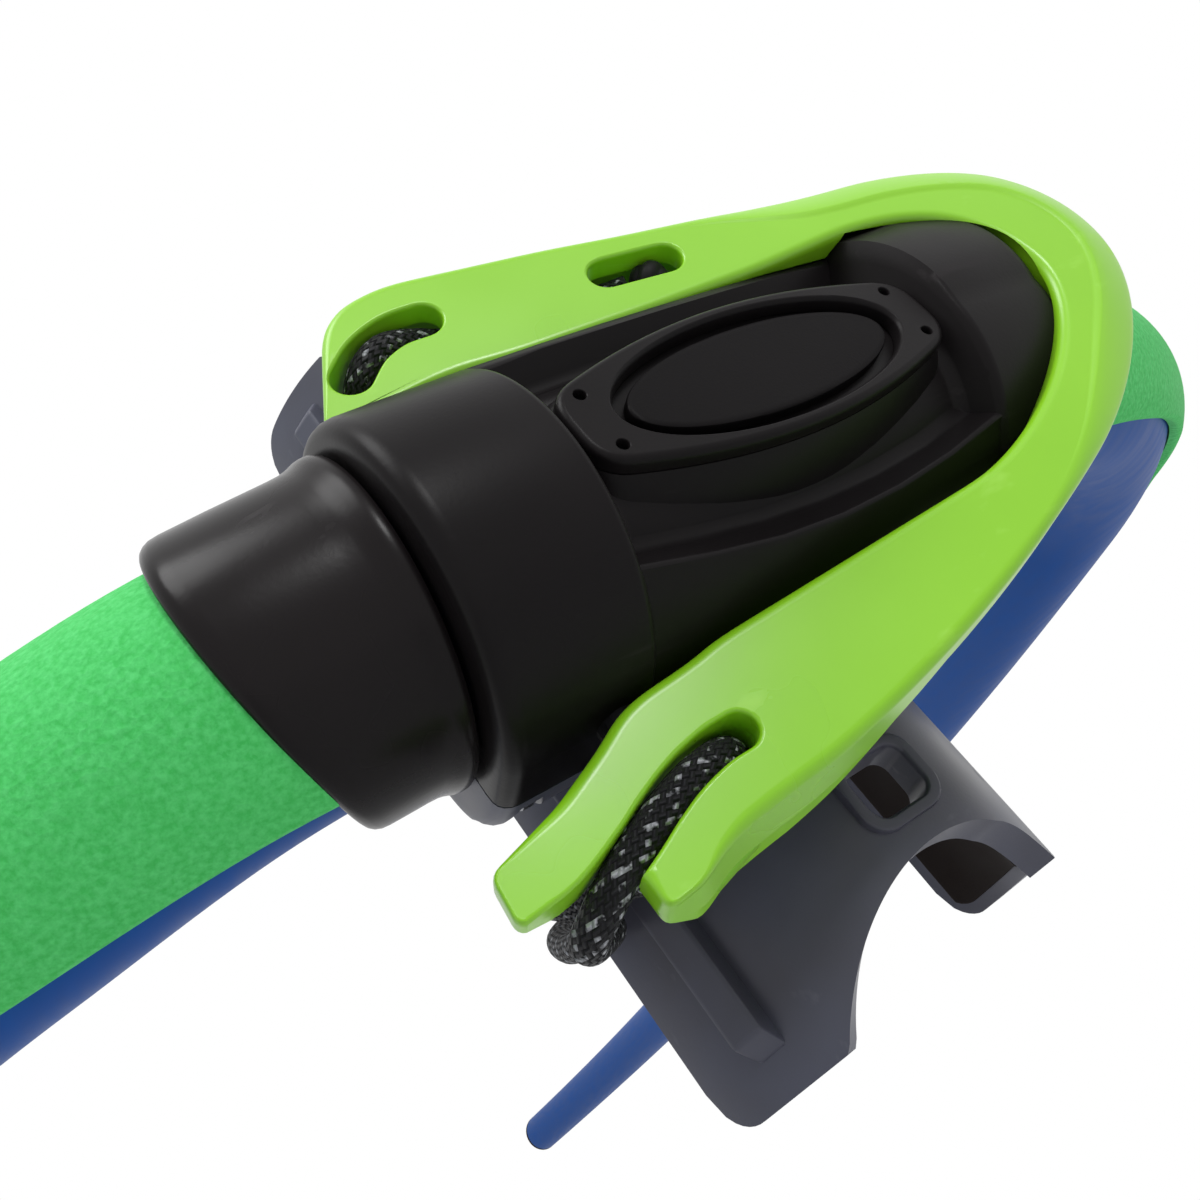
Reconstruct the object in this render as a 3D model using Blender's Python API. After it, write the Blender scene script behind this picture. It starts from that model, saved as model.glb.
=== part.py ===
import math

import bmesh
import bpy
from mathutils import Matrix, Vector

for old in list(bpy.data.objects):
    bpy.data.objects.remove(old, do_unlink=True)

mm = 0.001
fit_gap = 0.3 * mm

# Boom tube, its grip and its bends, measured along the tube's axis from the head's middle
tube_radius = 14.0 * mm
tube_wall = 1.4 * mm
front_bend_radius = 265.0 * mm
front_bend_length = 58.0 * mm
corner_radius = 105.0 * mm
corner_length = 105.5 * mm
side_radius = 1605.0 * mm
arm_length = 1040.0 * mm
arm_rise = math.radians(2.2)
grip_thickness = 2.4 * mm
grip_half_angle = math.radians(87.0)
grip_front_turn = math.radians(12.0)
grip_rear_turn = math.radians(45.0)
bare_tail = 400.0 * mm
joiner_wall = 1.8 * mm
joiner_half_length = 38.0 * mm
plug_depth = 22.0 * mm
plug_flange = 3.0 * mm

# Head body round the tube
collar_wall = 7.1 * mm
flank_drop = 0.6 * mm
floor_wall = 2.2 * mm
body_half_length = 44.0 * mm
recess_half_length = 26.8 * mm
recess_half_angle = math.radians(53.0)
body_bend_radius = 530.0 * mm
split_back = 9.0 * mm
lip_round = 1.4 * mm

# End cups
cup_length = 14.2 * mm
cup_slant = 3.5 * mm
cup_turn = math.radians(25.0)
cup_wall = 1.5 * mm
cup_tuck = 9.0 * mm
bead_height = 1.2 * mm
bead_width = 2.6 * mm

# Plate and badge on the front
plate_thickness = 2.0 * mm
plate_half_length = 26.0 * mm
plate_half_height = 9.5 * mm
plate_end_height = 4.8 * mm
badge_half_length = 18.6 * mm
badge_half_height = 6.3 * mm
badge_margin = 1.7 * mm
badge_drop = 0.7 * mm
plate_screw_x = 22.6 * mm
plate_screw_z = 3.7 * mm
plate_screw_radius = 0.9 * mm
plate_screw_depth = 3.0 * mm

# Mast cradle
mast_radius = 24.0 * mm
pad_thickness = 1.8 * mm
cradle_wall = 4.0 * mm
saddle_wall = 3.4 * mm
cradle_half_height = 59.0 * mm
cradle_half_angle = math.radians(82.0)
starboard_wing_angle = math.radians(109.0)
scallop_radius = 24.2 * mm
scallop_depth = 12.0 * mm
tip_round = 6.0 * mm
pad_start_angle = math.radians(16.0)
pad_end_angle = math.radians(76.0)
pad_half_height = 43.0 * mm
rib_angle = math.radians(58.0)
rib_half_angle = math.radians(4.0)
rib_height = 2.8 * mm
rib_half_height = 54.0 * mm
lug_angle = math.radians(65.5)
lug_half_angle = math.radians(3.4)
keel_hole_width = 9.0 * mm
keel_hole_height = 7.0 * mm
keel_hole_z = 38.5 * mm
keel_boss_height = 0.8 * mm
keel_boss_rim = 1.8 * mm
body_screw_inset = 5.0 * mm
body_screw_radius = 1.8 * mm
body_screw_head = 3.0 * mm
body_screw_reach = 16.0 * mm

# Clamp lever, laid out on its own front plane: u along it, z up, d behind it
lever_front = 11.6 * mm
lever_tilt = math.radians(11.06)
lever_tip = 57.4 * mm
lever_shoulder = 38.0 * mm
lever_nose_height = 22.0 * mm
lever_arm_height = 38.0 * mm
lever_lower_bow = 3.4 * mm
lever_heel = 32.0 * mm
lever_depth_arm = 9.8 * mm
lever_depth_nose = 6.2 * mm
lever_depth_end = 6.6 * mm
lever_edge = 1.3 * mm
lever_clearance = 0.45 * mm
lever_skin = 3.0 * mm
lever_web = 1.2 * mm
pivot_x = -31.0 * mm
pivot_back = 0.5 * mm
pin_radius = 2.5 * mm
pin_reach = 4.2 * mm
slot_width = 5.4 * mm
small_slot_width = 4.6 * mm

# Clamp rope
rope_radius = 2.0 * mm
knot_radius = 2.7 * mm
anchor_knot_radius = 4.0 * mm
rope_turn_middle = 14.0 * mm
rope_turn_half = 12.4 * mm
rope_anchor_z = -13.5 * mm

# Sizes that follow from the ones above
bore_radius = tube_radius + fit_gap
collar_radius = bore_radius + collar_wall
body_screw_x = body_half_length - body_screw_inset
flank_radius = collar_radius - flank_drop
floor_radius = bore_radius + floor_wall
channel_radius = mast_radius + pad_thickness + fit_gap
cradle_radius = channel_radius + cradle_wall
mast_to_tube = channel_radius + saddle_wall + bore_radius
cup_bore = tube_radius + grip_thickness + fit_gap
cup_radius = cup_bore + cup_wall
cup_start = body_half_length + 1.5 * fit_gap
grip_start = cup_start + cup_length + cup_slant - cup_tuck
plate_face = floor_radius + plate_thickness + fit_gap
pedestal_face = plate_face - plate_thickness - fit_gap
wide_gap = collar_radius + lever_clearance
narrow_gap = flank_radius + lever_clearance
rope_lie = cradle_radius + rope_radius + 2 * fit_gap
front_bend_angle = front_bend_length / front_bend_radius
corner_angle = corner_length / corner_radius


def make_material(name, hex_colour, roughness, metallic):
    material = bpy.data.materials.new(name)
    material.use_nodes = True
    shader = material.node_tree.nodes["Principled BSDF"]
    channels = []
    for start in (0, 2, 4):
        value = int(hex_colour[start:start + 2], 16) / 255.0
        channels.append(value / 12.92 if value <= 0.04045 else ((value + 0.055) / 1.055) ** 2.4)
    shader.inputs["Base Color"].default_value = (*channels, 1.0)
    shader.inputs["Roughness"].default_value = roughness
    shader.inputs["Metallic"].default_value = metallic
    return material


blue_aluminium = make_material("blue_aluminium", "2559A5", 0.35, 0.8)
plain_aluminium = make_material("plain_aluminium", "B4B8BC", 0.4, 1.0)
green_foam = make_material("green_foam", "46C356", 0.85, 0.0)
lime_plastic = make_material("lime_plastic", "9CE032", 0.3, 0.0)
black_plastic = make_material("black_plastic", "2E2A2C", 0.4, 0.0)
grey_plastic = make_material("grey_plastic", "3A3A3E", 0.5, 0.0)
soft_black = make_material("soft_black", "242426", 0.6, 0.0)
pad_rubber = make_material("pad_rubber", "1C1C1E", 0.85, 0.0)
stainless = make_material("stainless", "C2C4C8", 0.25, 1.0)
black_steel = make_material("black_steel", "303034", 0.35, 0.8)
black_rope = make_material("black_rope", "1E1E20", 0.9, 0.0)


def make_frame(name, place, parent=None):
    frame = bpy.data.objects.new(name, None)
    bpy.context.collection.objects.link(frame)
    frame.location = place
    frame.parent = parent
    return frame


head = make_frame("boom_head", (0.0, -mast_to_tube, 0.0))
hinge = make_frame("lever_hinge", (pivot_x, pivot_back, 0.0), head)


def make_solid(name, bm, material, parent=head):
    bmesh.ops.remove_doubles(bm, verts=bm.verts, dist=0.00001)
    bmesh.ops.recalc_face_normals(bm, faces=bm.faces)
    if parent is not head:
        bmesh.ops.translate(bm, vec=-Vector(parent.location), verts=bm.verts)
    mesh = bpy.data.meshes.new(name)
    bm.to_mesh(mesh)
    bm.free()
    solid = bpy.data.objects.new(name, mesh)
    bpy.context.collection.objects.link(solid)
    solid.parent = parent
    if material is not None:
        mesh.materials.append(material)
    return solid


def loft_mesh(sections, closed=False):
    """Skin a row of closed loops that all have the same number of points."""
    bm = bmesh.new()
    rings = [[bm.verts.new(point) for point in section] for section in sections]
    pairs = list(zip(rings, rings[1:]))
    if closed:
        pairs.append((rings[-1], rings[0]))
    else:
        bm.faces.new(rings[0])
        bm.faces.new(rings[-1])
    for first, second in pairs:
        for index in range(len(first)):
            after = (index + 1) % len(first)
            bm.faces.new((first[index], first[after], second[after], second[index]))
    return bm


def combine(target, tool, operation):
    change = target.modifiers.new(tool.name, "BOOLEAN")
    change.operation = operation
    change.object = tool
    change.solver = "EXACT"
    tool.hide_render = True
    tool.display_type = "WIRE"


def cylinder(name, start, end, radius, material=None, sides=20, parent=head, end_radius=None):
    start = Vector(start)
    along = Vector(end) - start
    bm = bmesh.new()
    turn = along.to_track_quat("Z", "Y").to_matrix().to_4x4()
    place = Matrix.Translation(start + along / 2) @ turn
    far_radius = radius if end_radius is None else end_radius
    bmesh.ops.create_cone(bm, cap_ends=True, segments=sides, radius1=radius, radius2=far_radius,
                          depth=along.length, matrix=place)
    return make_solid(name, bm, material, parent)


def axis_point(distance):
    """Place and heading of the boom tube's axis, for the starboard arm laid flat."""
    x, y, angle = 0.0, 0.0, 0.0
    left = distance
    bends = ((front_bend_length, front_bend_radius), (corner_length, corner_radius), (10.0, side_radius))
    for length, radius in bends:
        step = min(left, length)
        turned = angle + step / radius
        x += radius * (math.sin(turned) - math.sin(angle))
        y += radius * (math.cos(angle) - math.cos(turned))
        angle = turned
        left -= step
        if left <= 0.0:
            break
    return x, y, angle


rise_turn = Matrix.Rotation(arm_rise, 3, "X")


def tube_ring(distance, side, radius, angles):
    """Points round the tube's axis; angle 0 is outboard, a quarter turn is up."""
    x, y, heading = axis_point(distance)
    outward = Vector((math.sin(heading), -math.cos(heading), 0.0))
    points = []
    for angle in angles:
        point = Vector((x, y, 0.0)) + radius * (math.cos(angle) * outward)
        point.z += radius * math.sin(angle)
        point = rise_turn @ point
        point.x *= side
        points.append(point)
    return points


def full_turn(count):
    return [2.0 * math.pi * index / count for index in range(count)]


def spread(first, last, count):
    return [first + (last - first) * index / (count - 1) for index in range(count)]


front_corner = front_bend_length + corner_length


def arm_stations(start, end):
    """Distances along an arm, close together where it turns and far apart where it is nearly straight."""
    marks = spread(0.0, front_bend_length, 5)[:-1]
    marks += spread(front_bend_length, front_corner, 11)[:-1]
    marks += spread(front_corner, arm_length, 11)
    marks += [grip_start, arm_length - bare_tail, arm_length - plug_depth]
    inside = [mark for mark in sorted(marks) if start + 0.1 * mm < mark < end - 0.1 * mm]
    return [start] + inside + [end]


for side, side_name in ((-1, "port"), (1, "starboard")):
    stations = arm_stations(fit_gap / 2, arm_length)
    around = full_turn(16)
    outer = [tube_ring(mark, side, tube_radius, around) for mark in stations]
    inner = [tube_ring(mark, side, tube_radius - tube_wall, around) for mark in reversed(stations)]
    make_solid(side_name + "_arm_tube", loft_mesh(outer + inner, closed=True), blue_aluminium)

    grip = []
    for mark in arm_stations(grip_start, arm_length - bare_tail):
        turned = min(1.0, max(0.0, (mark - front_bend_length) / (0.85 * corner_length)))
        middle = grip_front_turn + (grip_rear_turn - grip_front_turn) * turned
        over = spread(middle - grip_half_angle, middle + grip_half_angle, 9)
        back = list(reversed(over))
        outside = tube_ring(mark, side, tube_radius + grip_thickness, over)
        grip.append(outside + tube_ring(mark, side, tube_radius + fit_gap, back))
    make_solid(side_name + "_grip", loft_mesh(grip), green_foam)

    plug_radius = tube_radius - tube_wall - fit_gap
    seat = arm_length + fit_gap
    profile = [(arm_length - plug_depth, plug_radius), (seat, plug_radius), (seat, tube_radius),
               (seat + plug_flange - 0.6 * mm, tube_radius), (seat + plug_flange, tube_radius - 0.6 * mm)]
    rings = [tube_ring(mark, side, radius, full_turn(20)) for mark, radius in profile]
    make_solid(side_name + "_end_plug", loft_mesh(rings), soft_black)

    # The cup's base lies along the body's end and its rim leans, so each station has a share of the lean
    profile = [(0.0, 0.0, cup_radius + bead_height), (bead_width, 0.0, cup_radius + bead_height),
               (bead_width + 0.6 * mm, 0.0, cup_radius), (cup_length - 1.6 * mm, 1.0, cup_radius),
               (cup_length - 0.5 * mm, 1.0, cup_radius - 0.3 * mm), (cup_length, 1.0, cup_bore + 0.6 * mm),
               (cup_length - 0.3 * mm, 1.0, cup_bore), (cup_length - cup_tuck - 1.2 * mm, 0.4, cup_bore),
               (cup_length - cup_tuck - 1.2 * mm, 0.39, tube_radius + fit_gap), (0.0, 0.0, tube_radius + fit_gap)]
    base_lean = math.tan(axis_point(cup_start)[2] - body_half_length / body_bend_radius)
    rings = []
    for along, lean, radius in profile:
        ring = []
        for angle in full_turn(24):
            slant = lean * cup_slant - (1.0 - lean) * radius * base_lean
            ring += tube_ring(cup_start + along + slant * math.cos(angle - lean * cup_turn), side, radius, [angle])
        rings.append(ring)
    make_solid(side_name + "_cup", loft_mesh(rings, closed=True), soft_black)

joiner_radius = tube_radius - tube_wall - fit_gap
rings = []
for radius, direction in ((joiner_radius, 1), (joiner_radius - joiner_wall, -1)):
    for mark in spread(-joiner_half_length * direction, joiner_half_length * direction, 9):
        rings.append(tube_ring(abs(mark), 1 if mark >= 0 else -1, radius, full_turn(16)))
make_solid("joiner_sleeve", loft_mesh(rings, closed=True), plain_aluminium)


def body_station(x):
    """Centre and lean of the head body's slightly curved axis."""
    lean = x / body_bend_radius
    return Vector((x, x * x / (2.0 * body_bend_radius), 0.0)), lean


def body_arc(x, radius_at, angles, centre=None):
    """Points round the body's axis; angle 0 faces forward, a quarter turn is up."""
    middle, lean = body_station(x)
    forward = Vector((math.sin(lean), -math.cos(lean), 0.0))
    middle = middle if centre is None else centre
    points = []
    for angle in angles:
        reach = radius_at(angle)
        points.append(middle + reach * math.cos(angle) * forward + Vector((0.0, 0.0, reach * math.sin(angle))))
    return points


def split_angle(x, radius, plane, centre_y):
    lean = body_station(x)[1]
    return math.acos((centre_y - plane) / (radius * math.cos(lean)))


def bore_centre(x):
    along_x, along_y, _ = axis_point(abs(x))
    return Vector((math.copysign(along_x, x), along_y * math.cos(arm_rise), along_y * math.sin(arm_rise)))


# Front shell: collars at both ends, flanks, and a sunk panel that carries the plate
def shell_radius(x):
    end_drop = max(0.0, abs(x) - (body_half_length - lip_round))
    collar = collar_radius - (lip_round - math.sqrt(max(0.0, lip_round ** 2 - end_drop ** 2)))
    return collar if abs(x) > recess_half_length else flank_radius


half = [0.0, 0.35 * recess_half_length, 0.7 * recess_half_length, recess_half_length - 0.2 * mm,
        recess_half_length + 0.2 * mm, recess_half_length + 6.0 * mm, body_half_length - lip_round,
        body_half_length - 0.4 * lip_round, body_half_length]
shell_stations = [-x for x in reversed(half)] + half[1:]
shell_sections = []
for x in shell_stations:
    wide = shell_radius(x)
    sunk = floor_radius if abs(x) < recess_half_length else wide
    plane = split_back - fit_gap / 2
    last = split_angle(x, wide, plane, body_station(x)[0].y)
    step = math.radians(0.8)
    flank = spread(recess_half_angle + step, last, 6)
    angles = [-a for a in reversed(flank)] + spread(-recess_half_angle, recess_half_angle, 11) + flank
    outside = body_arc(x, lambda a: sunk if abs(a) < recess_half_angle + step / 2 else wide, angles)
    bore = bore_centre(x)
    last = split_angle(x, bore_radius, plane, bore.y)
    shell_sections.append(outside + body_arc(x, lambda a: bore_radius, spread(last, -last, 15), bore))
front_shell = make_solid("front_shell", loft_mesh(shell_sections), black_plastic)


def boat_outline(half_length, half_height, end_height, count):
    """Long plate with bowed edges and square ends, as x and z pairs."""
    top = []
    for x in spread(half_length, -half_length, count):
        drop = (x / half_length) ** 2
        top.append((x, half_height - (half_height - end_height) * drop))
    return top + [(-x, -z) for x, z in top]


def oval_outline(half_length, half_height, count):
    return [(half_length * math.cos(a), half_height * math.sin(a)) for a in full_turn(count)]


def upright_loft(name, outlines, material=None):
    """Skin outlines of x and z pairs, each at its own distance in front of the tube axis."""
    sections = [[(x, -front, z) for x, z in outline] for outline, front in outlines]
    return make_solid(name, loft_mesh(sections), material)


foot = 1.4 * mm
pedestal = upright_loft("pedestal", [
    (boat_outline(plate_half_length + 0.4 * mm, plate_half_height + foot, plate_end_height + foot, 13),
     bore_radius - 4.0 * mm),
    (boat_outline(plate_half_length + 0.3 * mm, plate_half_height + 0.5 * mm, plate_end_height + 0.5 * mm, 13),
     pedestal_face)])
pedestal_bore = cylinder("pedestal_bore", (-60 * mm, 0, 0), (60 * mm, 0, 0), bore_radius + 0.6 * mm, sides=48)
combine(pedestal, pedestal_bore, "DIFFERENCE")
combine(front_shell, pedestal, "UNION")

face_plate = upright_loft("face_plate", [
    (boat_outline(plate_half_length, plate_half_height, plate_end_height, 13), pedestal_face + fit_gap),
    (boat_outline(plate_half_length, plate_half_height, plate_end_height, 13), plate_face - 0.5 * mm),
    (boat_outline(plate_half_length - 0.5 * mm, plate_half_height - 0.5 * mm, plate_end_height - 0.4 * mm, 13),
     plate_face)], black_plastic)
opening = oval_outline(badge_half_length + badge_margin, badge_half_height + badge_margin * 0.9, 32)
combine(face_plate, upright_loft("badge_opening", [(opening, 0.0), (opening, plate_face * 2)]), "DIFFERENCE")

badge_face = plate_face - badge_drop
small = oval_outline(badge_half_length - 0.6 * mm, badge_half_height - 0.6 * mm, 32)
badge = oval_outline(badge_half_length, badge_half_height, 32)
upright_loft("oval_badge", [(badge, pedestal_face + fit_gap), (badge, badge_face - 0.4 * mm),
                            (small, badge_face)], soft_black)

screw_number = 0
for x in (-plate_screw_x, plate_screw_x):
    for z in (-plate_screw_z, plate_screw_z):
        screw_number += 1
        name = "plate_screw_%d" % screw_number
        deep = pedestal_face - plate_screw_depth
        hole = cylinder(name + "_hole", (x, -deep + fit_gap, z), (x, -plate_face * 2, z),
                        plate_screw_radius + fit_gap, sides=14)
        combine(face_plate, hole, "DIFFERENCE")
        combine(front_shell, hole, "DIFFERENCE")
        cylinder(name, (x, -deep, z), (x, -(plate_face - 1.0 * mm), z), plate_screw_radius, black_steel, 12)

# Mast cradle: half pipe with leaning end cuts, saddle behind the tube, ribs and keel holes
mast_axis = Vector((0.0, mast_to_tube, 0.0))


def pipe_point(angle, radius, z):
    """A point round the mast; angle 0 faces forward and positive is starboard."""
    return Vector((radius * math.sin(angle), mast_to_tube - radius * math.cos(angle), z))


def cradle_top(angle):
    across = cradle_radius * math.sin(abs(angle))
    centre = cradle_half_height - scallop_depth + scallop_radius
    top = cradle_half_height
    if across < scallop_radius and abs(angle) < math.radians(60):
        top = min(top, centre - math.sqrt(scallop_radius ** 2 - across ** 2))
    wing_angle = starboard_wing_angle if angle > 0 else cradle_half_angle
    to_tip = cradle_radius * (wing_angle - abs(angle))
    if to_tip < tip_round:
        top -= tip_round - math.sqrt(max(0.0, tip_round ** 2 - (tip_round - to_tip) ** 2))
    return top


angles = spread(-cradle_half_angle, starboard_wing_angle, 49)
sections = []
for angle in angles:
    top = cradle_top(angle)
    sections.append([pipe_point(angle, cradle_radius, top), pipe_point(angle, cradle_radius, 0.0),
                     pipe_point(angle, cradle_radius, -top), pipe_point(angle, channel_radius, -top),
                     pipe_point(angle, channel_radius, 0.0), pipe_point(angle, channel_radius, top)])
cradle = make_solid("mast_cradle", loft_mesh(sections), grey_plastic)

saddle_sections = []
for x in shell_stations:
    wide = collar_radius - (collar_radius - shell_radius(x)) * (1.0 if abs(x) > recess_half_length else 0.0)
    plane = split_back + fit_gap / 2
    first = split_angle(x, wide, plane, body_station(x)[0].y)
    outside = body_arc(x, lambda a: wide, spread(first, 2.0 * math.pi - first, 13))
    bore = bore_centre(x)
    first = split_angle(x, bore_radius, plane, bore.y)
    inside = body_arc(x, lambda a: bore_radius, spread(2.0 * math.pi - first, first, 11), bore)
    saddle_sections.append(outside + inside)
saddle = make_solid("saddle", loft_mesh(saddle_sections), None)
mast_bore = cylinder("mast_bore", mast_axis + Vector((0, 0, -0.1)), mast_axis + Vector((0, 0, 0.1)),
                     channel_radius + 0.5 * mm, sides=64)
combine(saddle, mast_bore, "DIFFERENCE")
tube_bore_sections = [body_arc(x, lambda a: bore_radius, full_turn(28), bore_centre(x))
                      for x in spread(-60 * mm, 60 * mm, 13)]
tube_bore = make_solid("tube_bore", loft_mesh(tube_bore_sections), None)
combine(cradle, tube_bore, "DIFFERENCE")
combine(cradle, saddle, "UNION")

notch = rope_radius + 0.8 * mm
rib_low, rib_high = rib_angle - rib_half_angle, rib_angle + rib_half_angle
lug_low, lug_high = lug_angle - lug_half_angle, lug_angle + lug_half_angle
turn_low = rope_turn_middle - rope_turn_half
turn_high = rope_turn_middle + rope_turn_half
lug_reach = rope_turn_half * 0.5
rib_spans = [("port_rib", -rib_high, -rib_low, -rib_half_height, rib_half_height),
             ("starboard_turn_lug", lug_low, lug_high, rope_turn_middle - lug_reach, rope_turn_middle + lug_reach),
             ("starboard_lower_lug", lug_low, lug_high, rope_anchor_z - notch - 5.0 * mm, rope_anchor_z - notch),
             ("starboard_upper_lug", lug_low, lug_high, rope_anchor_z + notch, rope_anchor_z + notch + 5.0 * mm)]
for name, first, last, low, high in rib_spans:
    sections = []
    slope = min(rib_height, (high - low) / 4)
    root = cradle_radius - cradle_wall / 2
    for angle in spread(first, last, 4):
        sections.append([pipe_point(angle, root, low), pipe_point(angle, cradle_radius, low),
                         pipe_point(angle, cradle_radius + rib_height, low + slope),
                         pipe_point(angle, cradle_radius + rib_height, high - slope),
                         pipe_point(angle, cradle_radius, high), pipe_point(angle, root, high)])
    combine(cradle, make_solid(name, loft_mesh(sections), None), "UNION")


def rounded_box_outline(width, height, corner, count=5):
    points = []
    for number, (sx, sz) in enumerate(((1, 1), (-1, 1), (-1, -1), (1, -1))):
        for index in range(count):
            angle = math.pi / 2 * (number + index / (count - 1))
            points.append((sx * (width / 2 - corner) + corner * math.cos(angle),
                           sz * (height / 2 - corner) + corner * math.sin(angle)))
    return points


keel_front = cradle_radius - mast_to_tube
for sign, where in ((-1, "lower"), (1, "upper")):
    rim = [(x, z + sign * keel_hole_z) for x, z in
           rounded_box_outline(keel_hole_width + 2 * keel_boss_rim, keel_hole_height + 2 * keel_boss_rim,
                               3.4 * mm)]
    gap = [(x, z + sign * keel_hole_z) for x, z in
           rounded_box_outline(keel_hole_width, keel_hole_height, 2.0 * mm)]
    boss = upright_loft("keel_boss_" + where, [(rim, keel_front - cradle_wall / 2),
                                               (rim, keel_front + keel_boss_height)])
    combine(cradle, boss, "UNION")
    hole = upright_loft("keel_hole_" + where, [(gap, keel_front - 3 * cradle_wall),
                                               (gap, keel_front + 3 * cradle_wall)])
    combine(cradle, hole, "DIFFERENCE")

for side, side_name in ((-1, "port"), (1, "starboard")):
    sections = []
    for angle in spread(pad_start_angle, pad_end_angle, 13):
        turned = side * angle
        limit = min(pad_half_height, cradle_top(angle) - 2.0 * mm)
        sections.append([pipe_point(turned, mast_radius, limit), pipe_point(turned, mast_radius, -limit),
                         pipe_point(turned, channel_radius - fit_gap, -limit),
                         pipe_point(turned, channel_radius - fit_gap, limit)])
    make_solid(side_name + "_mast_pad", loft_mesh(sections), pad_rubber)

def spun(name, profile, x, z, material):
    """Turn a profile of radius and y pairs about a fore and aft line."""
    bm = bmesh.new()
    points = [bm.verts.new((x + radius, y, z)) for radius, y in profile]
    edges = [bm.edges.new(pair) for pair in zip(points, points[1:])]
    bmesh.ops.spin(bm, geom=points + edges, cent=(x, 0, z), axis=(0, 1, 0), angle=2 * math.pi,
                   steps=14, use_merge=True)
    return make_solid(name, bm, material)


# Screws that draw the cradle and the front shell together round the tube
screw_z = bore_radius + collar_wall / 2
screw_seat = split_back + 2.0 * mm
for side, side_name in ((-1, "port"), (1, "starboard")):
    for sign, where in ((-1, "lower"), (1, "upper")):
        name = "%s_%s_body_screw" % (side_name, where)
        x = side * body_screw_x
        z = sign * screw_z
        tip = screw_seat - body_screw_reach
        hole = [(0.0, tip - fit_gap), (body_screw_radius + fit_gap, tip - fit_gap),
                (body_screw_radius + fit_gap, screw_seat), (body_screw_head + 0.5 * mm, screw_seat),
                (body_screw_head + 0.5 * mm, 60 * mm), (0.0, 60 * mm)]
        cutter = spun(name + "_hole", hole, x, z, None)
        combine(front_shell, cutter, "DIFFERENCE")
        combine(cradle, cutter, "DIFFERENCE")
        profile = [(0.0, tip), (body_screw_radius, tip), (body_screw_radius, screw_seat + fit_gap),
                   (body_screw_head, screw_seat + fit_gap), (body_screw_head, screw_seat + 1.6 * mm),
                   (body_screw_head - 0.7 * mm, screw_seat + 2.3 * mm), (0.0, screw_seat + 2.3 * mm)]
        spun(name, profile, x, z, stainless)


# Clamp lever
def lever_point(u, z, d=0.0):
    lean = lever_tilt
    return Vector((u * math.cos(lean) + d * math.sin(lean),
                   -lever_front - u * math.sin(lean) + d * math.cos(lean), z))


def bezier(first, second, third, fourth, count):
    points = []
    for t in spread(0.0, 1.0, count):
        weights = ((1 - t) ** 3, 3 * t * (1 - t) ** 2, 3 * t * t * (1 - t), t ** 3)
        points.append(tuple(sum(w * p[axis] for w, p in zip(weights, (first, second, third, fourth)))
                            for axis in (0, 1)))
    return points


def arm_height(u):
    """Half width of the lever over its outer edges, from the arm ends to the shoulder of the nose."""
    share = (u + 24.0 * mm) / (lever_shoulder + 24.0 * mm)
    return lever_arm_height + (lever_nose_height - lever_arm_height) * share


def lower_height(u):
    """The lower arm bows outwards between its end and the heel of the nose."""
    share = (u - 10.0 * mm) / (36.0 * mm)
    return arm_height(u) + lever_lower_bow * (1.0 - share * share)


nose_inside = (body_half_length + 1.9 * mm) / math.cos(lever_tilt)
outer_nose = bezier((lever_shoulder, lever_nose_height), (lever_shoulder + 10 * mm, lever_nose_height * 0.88),
                    (lever_tip, lever_nose_height * 0.52), (lever_tip, 0.0), 10)
lower_nose = bezier((lever_tip, 0.0), (lever_tip, -lever_nose_height * 0.52),
                    (lever_heel + 14.0 * mm, -lower_height(lever_heel) * 0.79),
                    (lever_heel, -lower_height(lever_heel)), 10)
inner_nose = bezier((16.0 * mm, narrow_gap), (30.0 * mm, narrow_gap * 0.95),
                    (nose_inside, narrow_gap * 0.43), (nose_inside, 0.0), 10)
upper_edge = [(-38.5 * mm, wide_gap + 0.3 * mm), (-41.3 * mm, wide_gap + 1.9 * mm),
              (-34.0 * mm, lever_arm_height - 2.4 * mm), (-31.4 * mm, lever_arm_height - 0.6 * mm),
              (-28.0 * mm, lever_arm_height + 0.1 * mm), (-24.0 * mm, lever_arm_height)]
lower_edge = [(-24.0 * mm, -lever_arm_height), (-32.0 * mm, -lever_arm_height - 0.9 * mm),
              (-36.8 * mm, -lever_arm_height - 3.2 * mm), (-39.6 * mm, -lever_arm_height - 3.4 * mm),
              (-41.4 * mm, -lever_arm_height - 1.6 * mm), (-41.4 * mm, -36.0 * mm),
              (-51.6 * mm, -34.6 * mm), (-52.8 * mm, -32.6 * mm), (-52.5 * mm, -30.2 * mm),
              (-51.0 * mm, -28.9 * mm), (-44.0 * mm, -27.0 * mm), (-38.0 * mm, -24.6 * mm),
              (-33.0 * mm, -wide_gap - 0.3 * mm), (-25.0 * mm, -wide_gap), (-21.0 * mm, -narrow_gap)]
upper_inner = bezier((nose_inside, 0.0), (nose_inside, narrow_gap * 0.52),
                     (37.0 * mm, narrow_gap * 0.66), (28.0 * mm, narrow_gap * 0.7), 9)[1:]
upper_inner += [(15.0 * mm, narrow_gap * 0.74), (0.0, narrow_gap * 0.83), (-17.0 * mm, narrow_gap * 0.95),
                (-25.0 * mm, wide_gap)]
outline = upper_edge + outer_nose
outline += lower_nose[1:]
outline += [(u, -lower_height(u)) for u in spread(lever_heel - 8.0 * mm, -19.0 * mm, 6)]
outline += lower_edge
outline += [(u, -z) for u, z in inner_nose]
outline += upper_inner


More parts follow.
